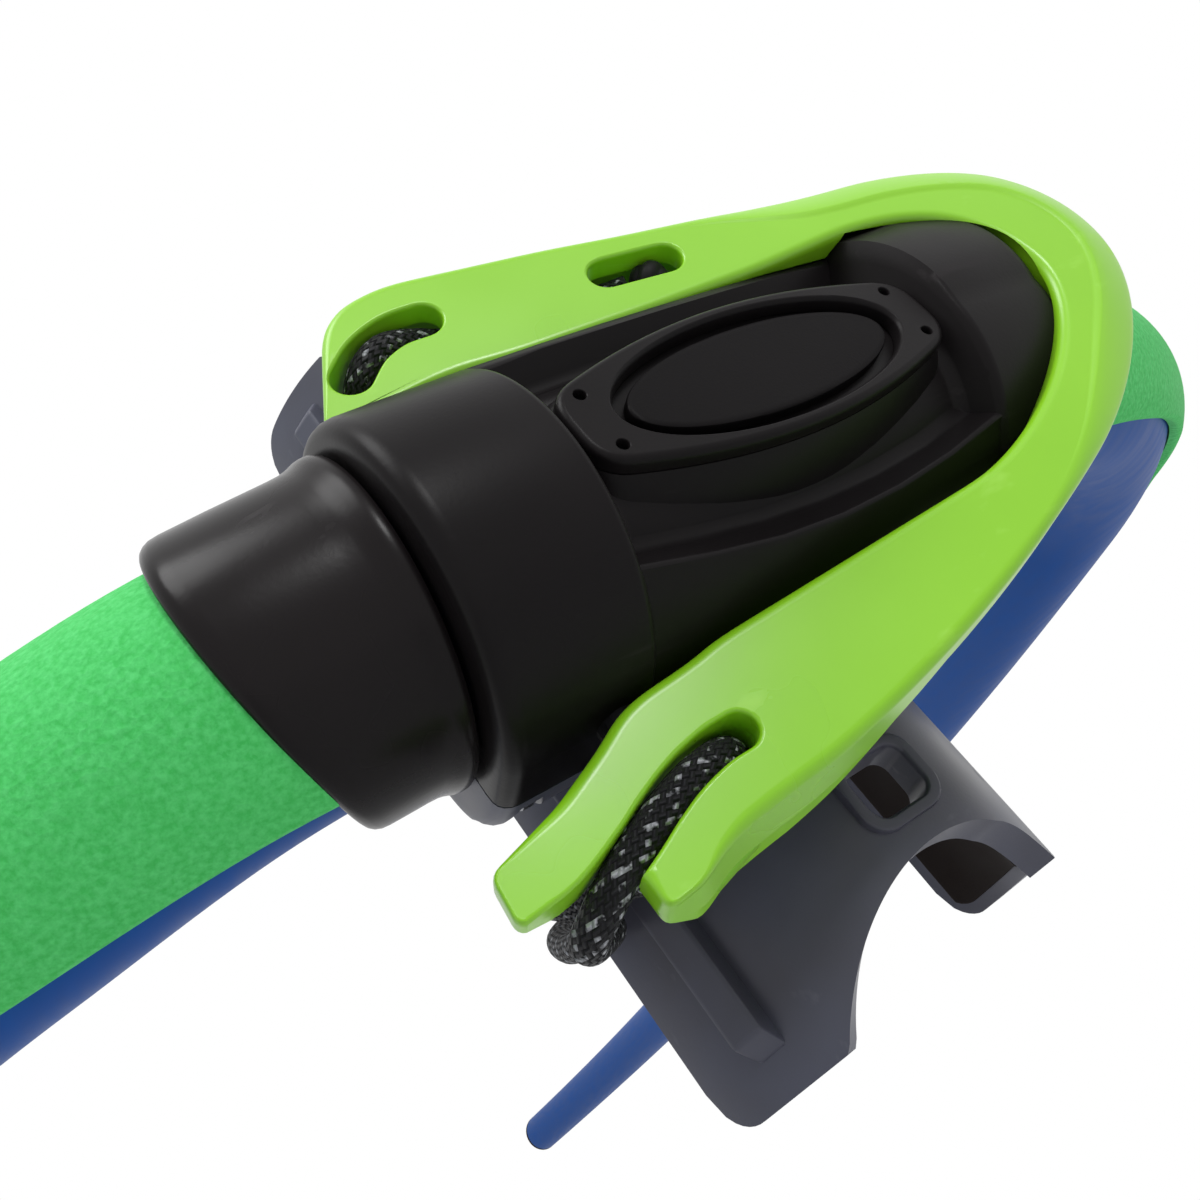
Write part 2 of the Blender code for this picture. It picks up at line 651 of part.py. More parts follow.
def lever_depth(u):
    """Deepest over the arms, thinner towards the nose and the arm ends."""
    if u < -30.0 * mm:
        share = min(1.0, (-30.0 * mm - u) / (22.0 * mm))
        return lever_depth_arm + (lever_depth_end - lever_depth_arm) * share
    share = max(0.0, (u - 30.0 * mm) / (nose_inside - 30.0 * mm))
    return lever_depth_arm + (lever_depth_nose - lever_depth_arm) * min(1.0, share)


front_loop = [lever_point(u, z) for u, z in outline]
back_loop = [lever_point(u, z, lever_depth(u)) for u, z in outline]
bm = loft_mesh([front_loop, back_loop])
bm.faces.ensure_lookup_table()
front_face = max(bm.faces, key=lambda face: (len(face.verts), -face.calc_center_median().y))
bmesh.ops.bevel(bm, geom=list(front_face.edges), offset=lever_edge, offset_type="OFFSET", segments=2,
                profile=0.5, affect="EDGES", clamp_overlap=True)
lever = make_solid("clamp_lever", bm, lime_plastic, hinge)


def lever_prism(name, points, near, far):
    sections = [[lever_point(u, z, near) for u, z in points], [lever_point(u, z, far) for u, z in points]]
    return make_solid(name, loft_mesh(sections), None)


def slot_outline(path, width):
    """A round-ended band of one width along a path of u and z pairs."""
    places = [Vector(point) for point in path]
    left, right = [], []
    for index, place in enumerate(places):
        before = places[max(0, index - 1)]
        after = places[min(len(places) - 1, index + 1)]
        along = (after - before).normalized()
        across = Vector((-along.y, along.x)) * width / 2
        left.append(place + across)
        right.append(place - across)

    def cap(centre, start_point):
        arm = start_point - centre
        return [centre + Matrix.Rotation(-math.pi * step / 6, 2) @ arm for step in range(1, 6)]

    end_cap = cap(places[-1], left[-1])
    start_cap = cap(places[0], right[0])
    return left + end_cap + list(reversed(right)) + start_cap


upper_slot = [(-23.8 * mm, 31.0 * mm), (-27.5 * mm, 31.3 * mm), (-31.5 * mm, 30.1 * mm), (-34.8 * mm, 27.6 * mm)]
lower_slot = [(-25.4 * mm, -30.8 * mm), (-31.0 * mm, -31.2 * mm), (-37.0 * mm, -32.9 * mm),
              (-43.0 * mm, -35.2 * mm), (-60.0 * mm, -42.2 * mm)]
small_slot = [(-0.9 * mm, 26.0 * mm), (6.7 * mm, 24.4 * mm)]
deep = 40.0 * mm
combine(lever, lever_prism("upper_slot", slot_outline(upper_slot, slot_width), -deep, deep), "DIFFERENCE")
combine(lever, lever_prism("lower_slot", slot_outline(lower_slot, slot_width), -deep, deep), "DIFFERENCE")
combine(lever, lever_prism("small_slot", slot_outline(small_slot, small_slot_width), -deep, deep), "DIFFERENCE")

pocket_span = spread(-25.5 * mm, 17.0 * mm, 6)
pocket = [(u, arm_height(u) - lever_web) for u in pocket_span]
pocket += [(17.0 * mm, wide_gap + lever_web), (-18.0 * mm, wide_gap + lever_web),
           (-25.5 * mm, wide_gap + 4 * lever_web)]
combine(lever, lever_prism("upper_pocket", pocket, lever_skin, deep), "DIFFERENCE")
pocket = [(u, -z) for u, z in pocket if u > -19.0 * mm]
combine(lever, lever_prism("lower_pocket", pocket, lever_skin, deep), "DIFFERENCE")

sweep = []
for x in (-70, -46, -45, -30, -15, 0, 15, 30, 45, 46, 60, 75):
    place = x * mm
    inside = abs(place) < body_half_length + 1.5 * mm
    reach = collar_radius + lever_clearance if inside else cup_radius + bead_height + lever_clearance
    middle = body_station(place)[0] if inside else bore_centre(place)
    sweep.append(body_arc(place, lambda a: reach, full_turn(40), middle))
combine(lever, make_solid("body_sweep", loft_mesh(sweep), None), "DIFFERENCE")

for sign, where in ((1, "upper"), (-1, "lower")):
    root = sign * (collar_radius - collar_wall * 0.7)
    end = sign * (wide_gap + pin_reach)
    name = where + "_pivot_pin"
    socket = cylinder(name + "_socket", (pivot_x, pivot_back, root - sign * fit_gap),
                      (pivot_x, pivot_back, end + sign * fit_gap), pin_radius + fit_gap)
    combine(front_shell, socket, "DIFFERENCE")
    combine(lever, socket, "DIFFERENCE")
    cylinder(name, (pivot_x, pivot_back, root), (pivot_x, pivot_back, end), pin_radius, stainless)

# Clamp rope: lever's upper arm, round the mast, starboard rib, round the mast, lower arm, anchor knot
def lever_run(points):
    return [lever_point(u * mm, z * mm, d * mm) for u, z, d in points]


def around_run(points):
    return [pipe_point(math.radians(a), reach, z) for a, reach, z in points]


back_reach = mast_radius + rope_radius + 2.0 * mm
port_reach = rope_lie + 3.0 * mm
knot_reach = cradle_radius + anchor_knot_radius + fit_gap
anchor = rope_anchor_z


def turn_height(share):
    return rope_turn_middle + rope_turn_half * share


route = lever_run([(1.8, 26.3, 6.1), (-3.0, 27.2, 6.0), (-9.0, 28.5, 5.9), (-16.5, 30.3, 6.0), (-21.0, 31.0, 5.7),
                   (-24.8, 31.4, 4.0), (-29.0, 31.2, 2.4), (-32.4, 29.7, 3.0), (-34.5, 27.9, 6.0),
                   (-35.0, 27.5, 10.6), (-35.8, 27.2, 15.4),
                   (-37.2, 26.9, 21.5)])
route += around_run([(-72, port_reach + 4 * mm, 26.3 * mm), (-90, port_reach, 26 * mm),
                     (-112, back_reach + 4 * mm, 25.8 * mm), (-135, back_reach, 25.7 * mm),
                     (-160, back_reach, 25.8 * mm), (175, back_reach, 26 * mm), (150, back_reach, 26.2 * mm),
                     (126, back_reach + 2.5 * mm, turn_high), (106, rope_lie + 1.0 * mm, turn_high),
                     (90, rope_lie, turn_high), (80, rope_lie, turn_high), (71, rope_lie, turn_height(0.98)),
                     (64.5, rope_lie, turn_height(0.87)), (59.6, rope_lie, turn_height(0.63)),
                     (57, rope_lie, turn_height(0.32)), (56.4, rope_lie, turn_height(0.0)),
                     (57, rope_lie, turn_height(-0.32)), (59.6, rope_lie, turn_height(-0.63)),
                     (64.5, rope_lie, turn_height(-0.87)), (71, rope_lie, turn_height(-0.98)),
                     (80, rope_lie, turn_low), (90, rope_lie, turn_low), (106, rope_lie + 1.0 * mm, turn_low),
                     (126, back_reach + 2.5 * mm, 0.4 * mm), (150, back_reach, -2 * mm),
                     (175, back_reach, -5 * mm), (-160, back_reach, -9 * mm), (-135, back_reach, -13 * mm),
                     (-112, back_reach + 4 * mm, -17.5 * mm), (-90, port_reach, -22 * mm),
                     (-74, port_reach + 2.5 * mm, -26.5 * mm)])
route += lever_run([(-35.6, -31.0, 27.0), (-34.0, -34.0, 19.5), (-30.5, -34.2, 14.6), (-27.4, -32.4, 12.8),
                    (-25.7, -31.0, 10.0), (-25.7, -30.8, 6.0), (-27.8, -30.9, 3.2), (-32.0, -31.5, 2.3),
                    (-37.0, -32.9, 2.4), (-41.2, -34.5, 2.9), (-45.0, -36.1, 4.4), (-47.6, -37.1, 8.6),
                    (-47.4, -36.6, 14.0), (-45.6, -35.0, 20.5)])
route += around_run([(-63, port_reach + 9.5 * mm, -32.4 * mm), (-76, port_reach + 4.5 * mm, -30.5 * mm),
                     (-92, port_reach + 2 * mm, -28.4 * mm), (-112, back_reach + 4.5 * mm, -25 * mm),
                     (-135, back_reach, -22 * mm), (-160, back_reach, -19 * mm), (175, back_reach, -17 * mm),
                     (150, back_reach, -15.4 * mm), (126, back_reach + 2.5 * mm, -14.2 * mm),
                     (106, rope_lie + 1.0 * mm, anchor), (90, rope_lie, anchor), (78, rope_lie, anchor),
                     (70, (rope_lie + knot_reach) / 2, anchor), (61, knot_reach, anchor)])


def smooth_route(points, spacing):
    """Resample a smooth curve through the route's points at even steps."""
    fine = []
    for index in range(len(points) - 1):
        before = points[max(0, index - 1)]
        first, second = points[index], points[index + 1]
        after = points[min(len(points) - 1, index + 2)]
        for step in range(12):
            t = step / 12
            fine.append(0.5 * (2 * first + (second - before) * t
                               + (2 * before - 5 * first + 4 * second - after) * t * t
                               + (3 * first - before - 3 * second + after) * t ** 3))
    fine.append(points[-1])
    total = sum((b - a).length for a, b in zip(fine, fine[1:]))
    count = int(round(total / spacing))
    picked = [fine[0]]
    gone = 0.0
    for first, second in zip(fine, fine[1:]):
        gone += (second - first).length
        if gone >= total * len(picked) / count and len(picked) < count:
            picked.append(second)
    return picked + [fine[-1]], total


rope_points, rope_length = smooth_route(route, 7.8 * mm)
print("clamp rope length %.3f m in %d points" % (rope_length, len(rope_points)))
curve = bpy.data.curves.new("clamp_rope", "CURVE")
curve.dimensions = "3D"
curve.bevel_depth = rope_radius
curve.bevel_resolution = 2
curve.use_fill_caps = True
spline = curve.splines.new("POLY")
spline.points.add(len(rope_points) - 1)
for point, place in zip(spline.points, rope_points):
    point.co = (*place, 1.0)
curve.materials.append(black_rope)
rope = bpy.data.objects.new("clamp_rope", curve)
bpy.context.collection.objects.link(rope)
rope.parent = head


def make_knot(name, end, inward, radius):
    """A stopper knot just past the end of the rope."""
    along = (end - inward).normalized()
    bm = bmesh.new()
    bmesh.ops.create_uvsphere(bm, u_segments=12, v_segments=8, radius=radius,
                              matrix=Matrix.Translation(end + along * (radius + fit_gap)))
    make_solid(name, bm, black_rope)


make_knot("upper_rope_knot", rope_points[0], rope_points[1], knot_radius)
make_knot("anchor_rope_knot", rope_points[-1], rope_points[-2], anchor_knot_radius)
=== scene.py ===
import bmesh
import bpy
from math import atan2, cos, degrees, hypot, pi, radians, sin, sqrt
from mathutils import Matrix, Vector


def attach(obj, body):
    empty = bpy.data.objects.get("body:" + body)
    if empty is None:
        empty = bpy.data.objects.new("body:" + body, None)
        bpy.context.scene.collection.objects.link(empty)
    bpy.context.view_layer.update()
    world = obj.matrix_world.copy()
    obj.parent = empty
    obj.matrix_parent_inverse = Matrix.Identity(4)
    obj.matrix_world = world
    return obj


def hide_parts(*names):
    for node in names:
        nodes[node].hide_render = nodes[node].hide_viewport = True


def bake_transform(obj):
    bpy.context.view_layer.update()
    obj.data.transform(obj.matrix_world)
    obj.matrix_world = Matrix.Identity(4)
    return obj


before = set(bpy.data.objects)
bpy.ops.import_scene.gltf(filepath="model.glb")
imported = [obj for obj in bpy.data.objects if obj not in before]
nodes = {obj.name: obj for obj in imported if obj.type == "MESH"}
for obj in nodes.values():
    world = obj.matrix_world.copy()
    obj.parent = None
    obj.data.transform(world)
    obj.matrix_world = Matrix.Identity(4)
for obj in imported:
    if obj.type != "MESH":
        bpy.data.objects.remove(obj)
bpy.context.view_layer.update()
scene = bpy.context.scene
print("frame loaded:", len(nodes), "nodes")

# Everything is modelled in millimetres from the middle of the boom tube, then set into the CAD frame
mastBack = 43.8
toPart = Matrix.Translation((0, -mastBack / 1000, 0)) @ Matrix.Scale(0.001, 4)


def addObject(name, data):
    made = bpy.data.objects.new(name, data)
    scene.collection.objects.link(made)
    return made


# Camera at the photograph's place: low, in front of the port side, looking up along the tube
shot = {"place": (-0.08505, -0.13916, -0.05749), "right": (0.7905, -0.2116, -0.5748),
        "up": (0.3599, -0.5989, 0.7154), "ahead": (0.4956, 0.7724, 0.3972), "lens": 34.57}
lensData = bpy.data.cameras.new("photoCamera")
lensData.lens = shot["lens"]
lensData.sensor_width = 36
lensData.clip_start = 0.001
camera = addObject("photoCamera", lensData)
turned = Matrix((shot["right"], shot["up"], -Vector(shot["ahead"]))).transposed()
camera.matrix_world = Matrix.Translation(shot["place"]) @ turned.to_4x4()
scene.camera = camera


def linear(code):
    values = [int(code[i:i + 2], 16) / 255 for i in (1, 3, 5)]
    return tuple(v / 12.92 if v <= 0.04045 else ((v + 0.055) / 1.055) ** 2.4 for v in values) + (1,)


def feed(tree, node, inputs):   # an input is a value, a colour code, a socket, or a node for what it makes
    for name, value in inputs.items():
        if isinstance(value, bpy.types.Node):
            value = value.outputs[2 if getattr(value, "data_type", "") == "RGBA" else 0]
        if isinstance(value, bpy.types.NodeSocket):
            tree.links.new(value, node.inputs[name])
        else:
            node.inputs[name].default_value = linear(value) if isinstance(value, str) else value


def addNode(tree, kind, inputs, **settings):
    node = tree.nodes.new("ShaderNode" + kind)
    for key, value in settings.items():
        setattr(node, key, value)
    feed(tree, node, inputs)
    return node


def startMaterial(name, fixed):
    material = bpy.data.materials.new(name)
    material.use_nodes = True
    tree = material.node_tree
    shader = tree.nodes["Principled BSDF"]
    feed(tree, shader, fixed)
    return material, tree, shader, addNode(tree, "TexCoord", {}).outputs


# Moulded plastics: a fine eroded skin from the mould, slow colour drift, a few hairline scuffs. The skin is
# drawn coarser than real so that it shows
scuffs = {"lengthMm": 26, "turn": (0.4, 0.9, 0.3), "stretch": (1, 14, 6), "from": 0.66, "full": 0.74, "roughen": 0.12}


def mouldedPlastic(name, look):
    material, tree, shader, place = startMaterial(name, {"IOR": look["ior"], "Specular IOR Level": look["gloss"]})
    spot = place["Object"]
    drift = addNode(tree, "TexNoise", {"Scale": 1000 / look["driftMm"], "Detail": 3, "Vector": spot})
    skin = addNode(tree, "TexNoise", {"Scale": 1000 / look["skinMm"], "Detail": 2, "Vector": spot})
    stretched = addNode(tree, "Mapping", {"Rotation": scuffs["turn"], "Scale": scuffs["stretch"], "Vector": spot})
    scuff = addNode(tree, "TexNoise", {"Scale": 1000 / scuffs["lengthMm"], "Detail": 4, "Vector": stretched})
    scuffed = addNode(tree, "MapRange", {"From Min": scuffs["from"], "From Max": scuffs["full"], "Value": scuff})
    shade = addNode(tree, "Mix", {0: drift, 6: look["dark"], 7: look["light"]}, data_type="RGBA")
    worn = addNode(tree, "Math", {0: scuffed, 1: look["wear"]}, operation="MULTIPLY")
    paint = addNode(tree, "Mix", {0: worn, 6: shade, 7: look["worn"]}, data_type="RGBA")
    low, high = look["roughness"]
    rough = addNode(tree, "MapRange", {
        "From Min": 0.3, "From Max": 0.7, "To Min": low, "To Max": high, "Value": drift})
    roughWorn = addNode(tree, "Math", {0: scuffed, 1: scuffs["roughen"], 2: rough}, operation="MULTIPLY_ADD")
    relief = addNode(tree, "Bump", {"Strength": look["relief"], "Distance": 0.00006, "Height": skin})
    feed(tree, shader, {"Base Color": paint, "Roughness": roughWorn, "Normal": relief})
    return material


# Glass-filled nylon, dyed through: lime for the lever, satin black for the housing, glossier for the cups, dark
# grey for the cradle, matte for the badge. Cast rubber for the mast pads and the tail plugs
limeNylon = mouldedPlastic("limeNylon", {
    "light": "#96DB28", "dark": "#8BD01C", "worn": "#B4EE62", "roughness": (0.26, 0.36), "ior": 1.53, "gloss": 0.5,
    "driftMm": 30, "skinMm": 0.8, "relief": 0.05, "wear": 0.25})
blackNylon = mouldedPlastic("blackNylon", {
    "light": "#1B1819", "dark": "#131112", "worn": "#3A3638", "roughness": (0.30, 0.42), "ior": 1.53, "gloss": 0.085,
    "driftMm": 24, "skinMm": 0.5, "relief": 0.16, "wear": 0.25})
cupNylon = mouldedPlastic("cupNylon", {
    "light": "#1D191A", "dark": "#141112", "worn": "#3E3A3C", "roughness": (0.2, 0.3), "ior": 1.53, "gloss": 0.11,
    "driftMm": 20, "skinMm": 0.6, "relief": 0.12, "wear": 0.3})
greyNylon = mouldedPlastic("greyNylon", {
    "light": "#5E6172", "dark": "#413E44", "worn": "#6C6D78", "roughness": (0.32, 0.44), "ior": 1.53, "gloss": 0.28,
    "driftMm": 18, "skinMm": 0.45, "relief": 0.22, "wear": 0.35})
matteNylon = mouldedPlastic("matteNylon", {
    "light": "#151314", "dark": "#100E0F", "worn": "#2C2A2B", "roughness": (0.42, 0.52), "ior": 1.53, "gloss": 0.05,
    "driftMm": 15, "skinMm": 0.35, "relief": 0.25, "wear": 0.15})
castRubber = mouldedPlastic("castRubber", {
    "light": "#221A18", "dark": "#181210", "worn": "#3A3230", "roughness": (0.7, 0.85), "ior": 1.5, "gloss": 0.15,
    "driftMm": 12, "skinMm": 0.3, "relief": 0.4, "wear": 0.3})


# EVA foam, skived sheet: open cut cells read as a fine grain, with painted shade making the low pits darker between
# paler ones.
# The cells are drawn coarser than real so that they show
foam = {"cellMm": 0.7, "blotchMm": 3.0, "pitMm": 1.0, "dark": "#47C860", "light": "#61DD7C", "patch": "#52D26C"}


def makeFoam():
    material, tree, shader, place = startMaterial("evaFoam", {
        "IOR": 1.45, "Specular IOR Level": 0.2, "Roughness": 0.9, "Sheen Weight": 0.12, "Sheen Roughness": 0.5})
    spot = place["Object"]
    cells = addNode(tree, "TexNoise", {"Scale": 1000 / foam["cellMm"], "Detail": 3, "Roughness": 0.6, "Vector": spot})
    blotch = addNode(tree, "TexNoise", {"Scale": 1000 / foam["blotchMm"], "Detail": 3, "Vector": spot})
    pits = addNode(tree, "TexVoronoi", {"Scale": 1000 / foam["pitMm"], "Vector": spot})
    grainAndPitShade = addNode(tree, "MapRange", {"From Min": 0.34, "From Max": 0.66, "Value": cells})
    # partly random grain, partly painted shade: the same noise lifts the bump, so the low pits take the darker colour
    shade = addNode(tree, "Mix", {0: grainAndPitShade, 6: foam["dark"], 7: foam["light"]}, data_type="RGBA")
    patch = addNode(tree, "MapRange", {"From Min": 0.35, "From Max": 0.7, "To Max": 0.2, "Value": blotch})
    paint = addNode(tree, "Mix", {0: patch, 6: shade, 7: foam["patch"]}, data_type="RGBA")
    high = addNode(tree, "Math", {0: cells, 1: pits}, operation="ADD")
    relief = addNode(tree, "Bump", {"Strength": 0.5, "Distance": 0.0002, "Height": high})
    feed(tree, shader, {"Base Color": paint, "Normal": relief})
    return material


# Metals: drawn tube with faint lengthwise die lines under its anodising, and plain fastener steel
def makeMetal(name, look):
    material, tree, shader, place = startMaterial(name, {
        "Metallic": look["metallic"], "Specular IOR Level": look["gloss"]})
    lines = addNode(tree, "Mapping", {"Scale": look["stretch"], "Vector": place["Object"]})
    drawn = addNode(tree, "TexNoise", {"Scale": 1000 / look["lineMm"], "Detail": 3, "Vector": lines})
    shade = addNode(tree, "Mix", {0: drawn, 6: look["dark"], 7: look["light"]}, data_type="RGBA")
    low, high = look["roughness"]
    rough = addNode(tree, "MapRange", {
        "From Min": 0.3, "From Max": 0.7, "To Min": low, "To Max": high, "Value": drawn})
    relief = addNode(tree, "Bump", {"Strength": 0.05, "Distance": 0.00003, "Height": drawn})
    feed(tree, shader, {"Base Color": shade, "Roughness": rough, "Normal": relief})
    return material


# Polyester braid: thirty-two carriers crossing, black with a few pale tracer yarns; runs on the cord's UV map.
# The weave's valleys are painted darker than its crowns, as painted shade
yarns = {"eachWay": 16, "lead": 0.017, "tracerEvery": 4, "fleckMm": 1.1, "deep": "#060607", "crown": "#1F1F22",
         "tracer": "#B4B6BB"}


def makeBraid():
    material, tree, shader, place = startMaterial("polyesterBraid", {
        "IOR": 1.55, "Specular IOR Level": 0.12, "Roughness": 0.55, "Sheen Weight": 0.04})
    apart = addNode(tree, "SeparateXYZ", {0: place["UV"]})
    around = addNode(tree, "Math", {0: apart.outputs[0], 1: yarns["eachWay"]}, operation="MULTIPLY")
    lead = addNode(tree, "Math", {0: apart.outputs[1], 1: yarns["eachWay"] / yarns["lead"]}, operation="MULTIPLY")
    numbers, crowns, carriers = [], [], []
    for crossing in ("ADD", "SUBTRACT"):
        count = addNode(tree, "Math", {0: around, 1: lead}, operation=crossing)
        number = addNode(tree, "Math", {0: count}, operation="FLOOR")
        across = addNode(tree, "Math", {0: count, 1: 1}, operation="FLOORED_MODULO")
        halfTurn = addNode(tree, "Math", {0: across, 1: pi}, operation="MULTIPLY")
        numbers.append(number)
        crowns.append(addNode(tree, "Math", {0: halfTurn}, operation="SINE"))
        carriers.append(addNode(tree, "Math", {0: number, 1: yarns["tracerEvery"]}, operation="FLOORED_MODULO"))
    total = addNode(tree, "Math", {0: numbers[0], 1: numbers[1]}, operation="ADD")
    over = addNode(tree, "Math", {0: total, 1: 2}, operation="FLOORED_MODULO")
    height = addNode(tree, "Mix", {0: over, 2: crowns[0], 3: crowns[1]})
    upper = addNode(tree, "Mix", {0: over, 2: carriers[0], 3: carriers[1]})
    pale = addNode(tree, "Math", {0: upper, 1: yarns["tracerEvery"] - 1, 2: 0.4}, operation="COMPARE")
    yarn = addNode(tree, "TexNoise", {"Scale": 1000 / yarns["fleckMm"], "Detail": 3, "Vector": place["Object"]})
    broken = addNode(tree, "MapRange", {"From Min": 0.47, "From Max": 0.6, "Value": yarn})
    fleck = addNode(tree, "Math", {0: pale, 1: broken}, operation="MULTIPLY")
    # painted shade: the weave's valleys take the darker colour and its crowns the lighter one
    rope = addNode(tree, "Mix", {0: height, 6: yarns["deep"], 7: yarns["crown"]}, data_type="RGBA")
    paint = addNode(tree, "Mix", {0: fleck, 6: rope, 7: yarns["tracer"]}, data_type="RGBA")
    relief = addNode(tree, "Bump", {"Strength": 0.9, "Distance": 0.0004, "Height": height})
    feed(tree, shader, {"Base Color": paint, "Normal": relief})
    return material


evaFoam = makeFoam()
anodisedBlue = makeMetal("anodisedBlue", {
    "dark": "#174A92", "light": "#2057A6", "metallic": 0.25, "gloss": 0.06, "lineMm": 9, "stretch": (4, 0.5, 4),
    "roughness": (0.42, 0.52)})
millAluminium = makeMetal("millAluminium", {
    "dark": "#A9ADB1", "light": "#C3C6CA", "metallic": 1, "gloss": 0.5, "lineMm": 5, "stretch": (1, 4, 4),
    "roughness": (0.32, 0.45)})
stainlessSteel = makeMetal("stainlessSteel", {
    "dark": "#A8AAAE", "light": "#C8CACE", "metallic": 1, "gloss": 0.5, "lineMm": 1.5, "stretch": (1, 1, 1),
    "roughness": (0.2, 0.32)})
blackOxide = makeMetal("blackOxide", {
    "dark": "#0C0C0E", "light": "#19191C", "metallic": 0.8, "gloss": 0.3, "lineMm": 1, "stretch": (1, 1, 1),
    "roughness": (0.35, 0.5)})
braid = makeBraid()
print("materials made")


def settle(piece):
    graph = bpy.context.evaluated_depsgraph_get()
    mesh = bpy.data.meshes.new_from_object(piece.evaluated_get(graph))
    piece.modifiers.clear()
    piece.data = mesh


def makeObject(name, bm, material=None, tidy=True):
    if tidy:
        bmesh.ops.remove_doubles(bm, verts=bm.verts, dist=0.002)
        bmesh.ops.recalc_face_normals(bm, faces=bm.faces)
    bmesh.ops.transform(bm, matrix=toPart, verts=bm.verts)
    mesh = bpy.data.meshes.new(name)
    bm.to_mesh(mesh)
    bm.free()
    if material:
        mesh.materials.append(material)
    return addObject(name, mesh)


def carve(piece, cutters):
    for cutter in cutters:
        cut = piece.modifiers.new("cut", "BOOLEAN")
        cut.operation = "DIFFERENCE"
        cut.solver = "MANIFOLD"
        cut.object = cutter
        settle(piece)
        bpy.data.objects.remove(cutter)


def shadeSoft(piece, angle=32):
    piece.data.shade_smooth()
    piece.data.set_sharp_from_angle(angle=radians(angle))
    weigh = piece.modifiers.new("flats", "WEIGHTED_NORMAL")   # big flats keep their normals beside rounds
    weigh.keep_sharp = True
    settle(piece)
    return piece


def softObject(name, bm, material, angle):
    return shadeSoft(makeObject(name, bm, material), angle)


def thicken(piece, thickness, even=False):   # inwards from the modelled skin
    wall = piece.modifiers.new("wall", "SOLIDIFY")
    wall.thickness = thickness / 1000
    wall.offset = -1
    wall.use_even_offset = even
    settle(piece)


def setIn(piece, body, *stands):
    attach(piece, body)
    if stands:
        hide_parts(*stands)
    return piece


def spread(first, last, count):
    return [first + (last - first) * i / (count - 1) for i in range(count)]


def unit(value):
    return min(1, max(0, value))


def mix(first, last, share):
    return first + (last - first) * share


def circle(count):
    return [2 * pi * i / count for i in range(count)]


def at(places, i):   # past an end, the end itself
    return places[min(len(places) - 1, max(0, i))]


def ease(value, start=0, length=1):
    share = unit((value - start) / length)
    return share * share * (3 - 2 * share)


def only(kind, geom):
    return [g for g in geom if isinstance(g, kind)]


def grow(bm, edges):
    made = bmesh.ops.extrude_edge_only(bm, edges=edges)["geom"]
    return only(bmesh.types.BMVert, made), [e for e in only(bmesh.types.BMEdge, made) if e.is_boundary]


def loft(bm, loops, capped=True):
    order = bm.verts.layers.int.get("order") or bm.verts.layers.int.new("order")
    station = bm.verts.layers.int.get("station") or bm.verts.layers.int.new("station")
    first = [bm.verts.new(point) for point in loops[0]]
    for number, vert in enumerate(first):
        vert[order] = number
    ring = [bm.edges.new((first[i - 1], first[i])) for i in range(len(first))]
    if capped:
        bm.faces.new(first)
    for row, loop in enumerate(loops[1:]):
        verts, ring = grow(bm, ring)
        for vert in verts:
            vert.co = loop[vert[order]]
            vert[station] = row + 1
    if capped:
        bmesh.ops.edgeloop_fill(bm, edges=ring)


def loftObject(name, loops, material=None):
    bm = bmesh.new()
    loft(bm, loops)
    return makeObject(name, bm, material)


def rod(name, radius, depth, segments, place):
    bm = bmesh.new()
    bmesh.ops.create_cone(bm, cap_ends=True, segments=segments, radius1=radius, radius2=radius, depth=depth,
                          matrix=place)
    return makeObject(name, bm)


def roundOff(bm, geom, offset, segments, affect="EDGES", clamp=False):
    bmesh.ops.bevel(bm, geom=geom, offset=offset, offset_type="OFFSET", segments=segments, profile=0.5,
                    affect=affect, material=-1, clamp_overlap=clamp)


def roundSharp(bm, angle, offset):
    bmesh.ops.recalc_face_normals(bm, faces=bm.faces)
    roundOff(bm, [e for e in bm.edges if e.calc_face_angle(0) > radians(angle)], offset, 2, clamp=True)


def turnProfile(bm, points, steps, closed=False):   # radius and place along, turned about Z
    verts = [bm.verts.new((radius, 0, along)) for radius, along in points]
    edges = [bm.edges.new(pair) for pair in zip(verts, verts[1:])]
    if closed:
        edges.append(bm.edges.new((verts[-1], verts[0])))
    bmesh.ops.spin(bm, geom=verts + edges, cent=(0, 0, 0), axis=(0, 0, 1), angle=2 * pi, steps=steps, use_merge=True)
    bmesh.ops.remove_doubles(bm, verts=bm.verts, dist=0.001)


# Boom arms: one drawn tube each side, bent at the front and round the corner, a little low behind the cups
arm = {"radius": 14.0, "wall": 1.4, "bends": ((58.0, 265.0), (105.5, 105.0), (5000.0, 1605.0)), "length": 1040.0,
       "rise": radians(2.2), "sides": 64, "sag": 1.1, "sagIn": (60, 30), "sagOut": (200, 220)}
riseTurn = Matrix.Rotation(arm["rise"], 3, "X")


def armAxis(distance):
    x = y = heading = 0.0
    left = distance
    for length, radius in arm["bends"]:
        step = min(left, length)
        after = heading + step / radius
        x += radius * (sin(after) - sin(heading))
        y += radius * (cos(heading) - cos(after))
        heading = after
        left -= step
        if left <= 0:
            break
    return x, y, heading


def bendAlongArm(bm, side):   # straight work along Z is laid along the arm: X turns outboard, Y up
    for vert in bm.verts:
        x, y, heading = armAxis(vert.co.z)
        sag = arm["sag"] * ease(vert.co.z, *arm["sagIn"]) * (1 - ease(vert.co.z, *arm["sagOut"]))
        place = riseTurn @ Vector((x + vert.co.x * sin(heading), y - vert.co.x * cos(heading), vert.co.y - sag))
        vert.co = (place.x * side, place.y, place.z)


def armStops(first, last):
    corner = arm["bends"][0][0]
    tail = corner + arm["bends"][1][0]
    stops = spread(0, corner, 20)[:-1] + spread(corner, tail, 44)[:-1] + spread(tail, arm["length"], 70)
    return [first] + [s for s in stops if first + 0.2 < s < last - 0.2] + [last]


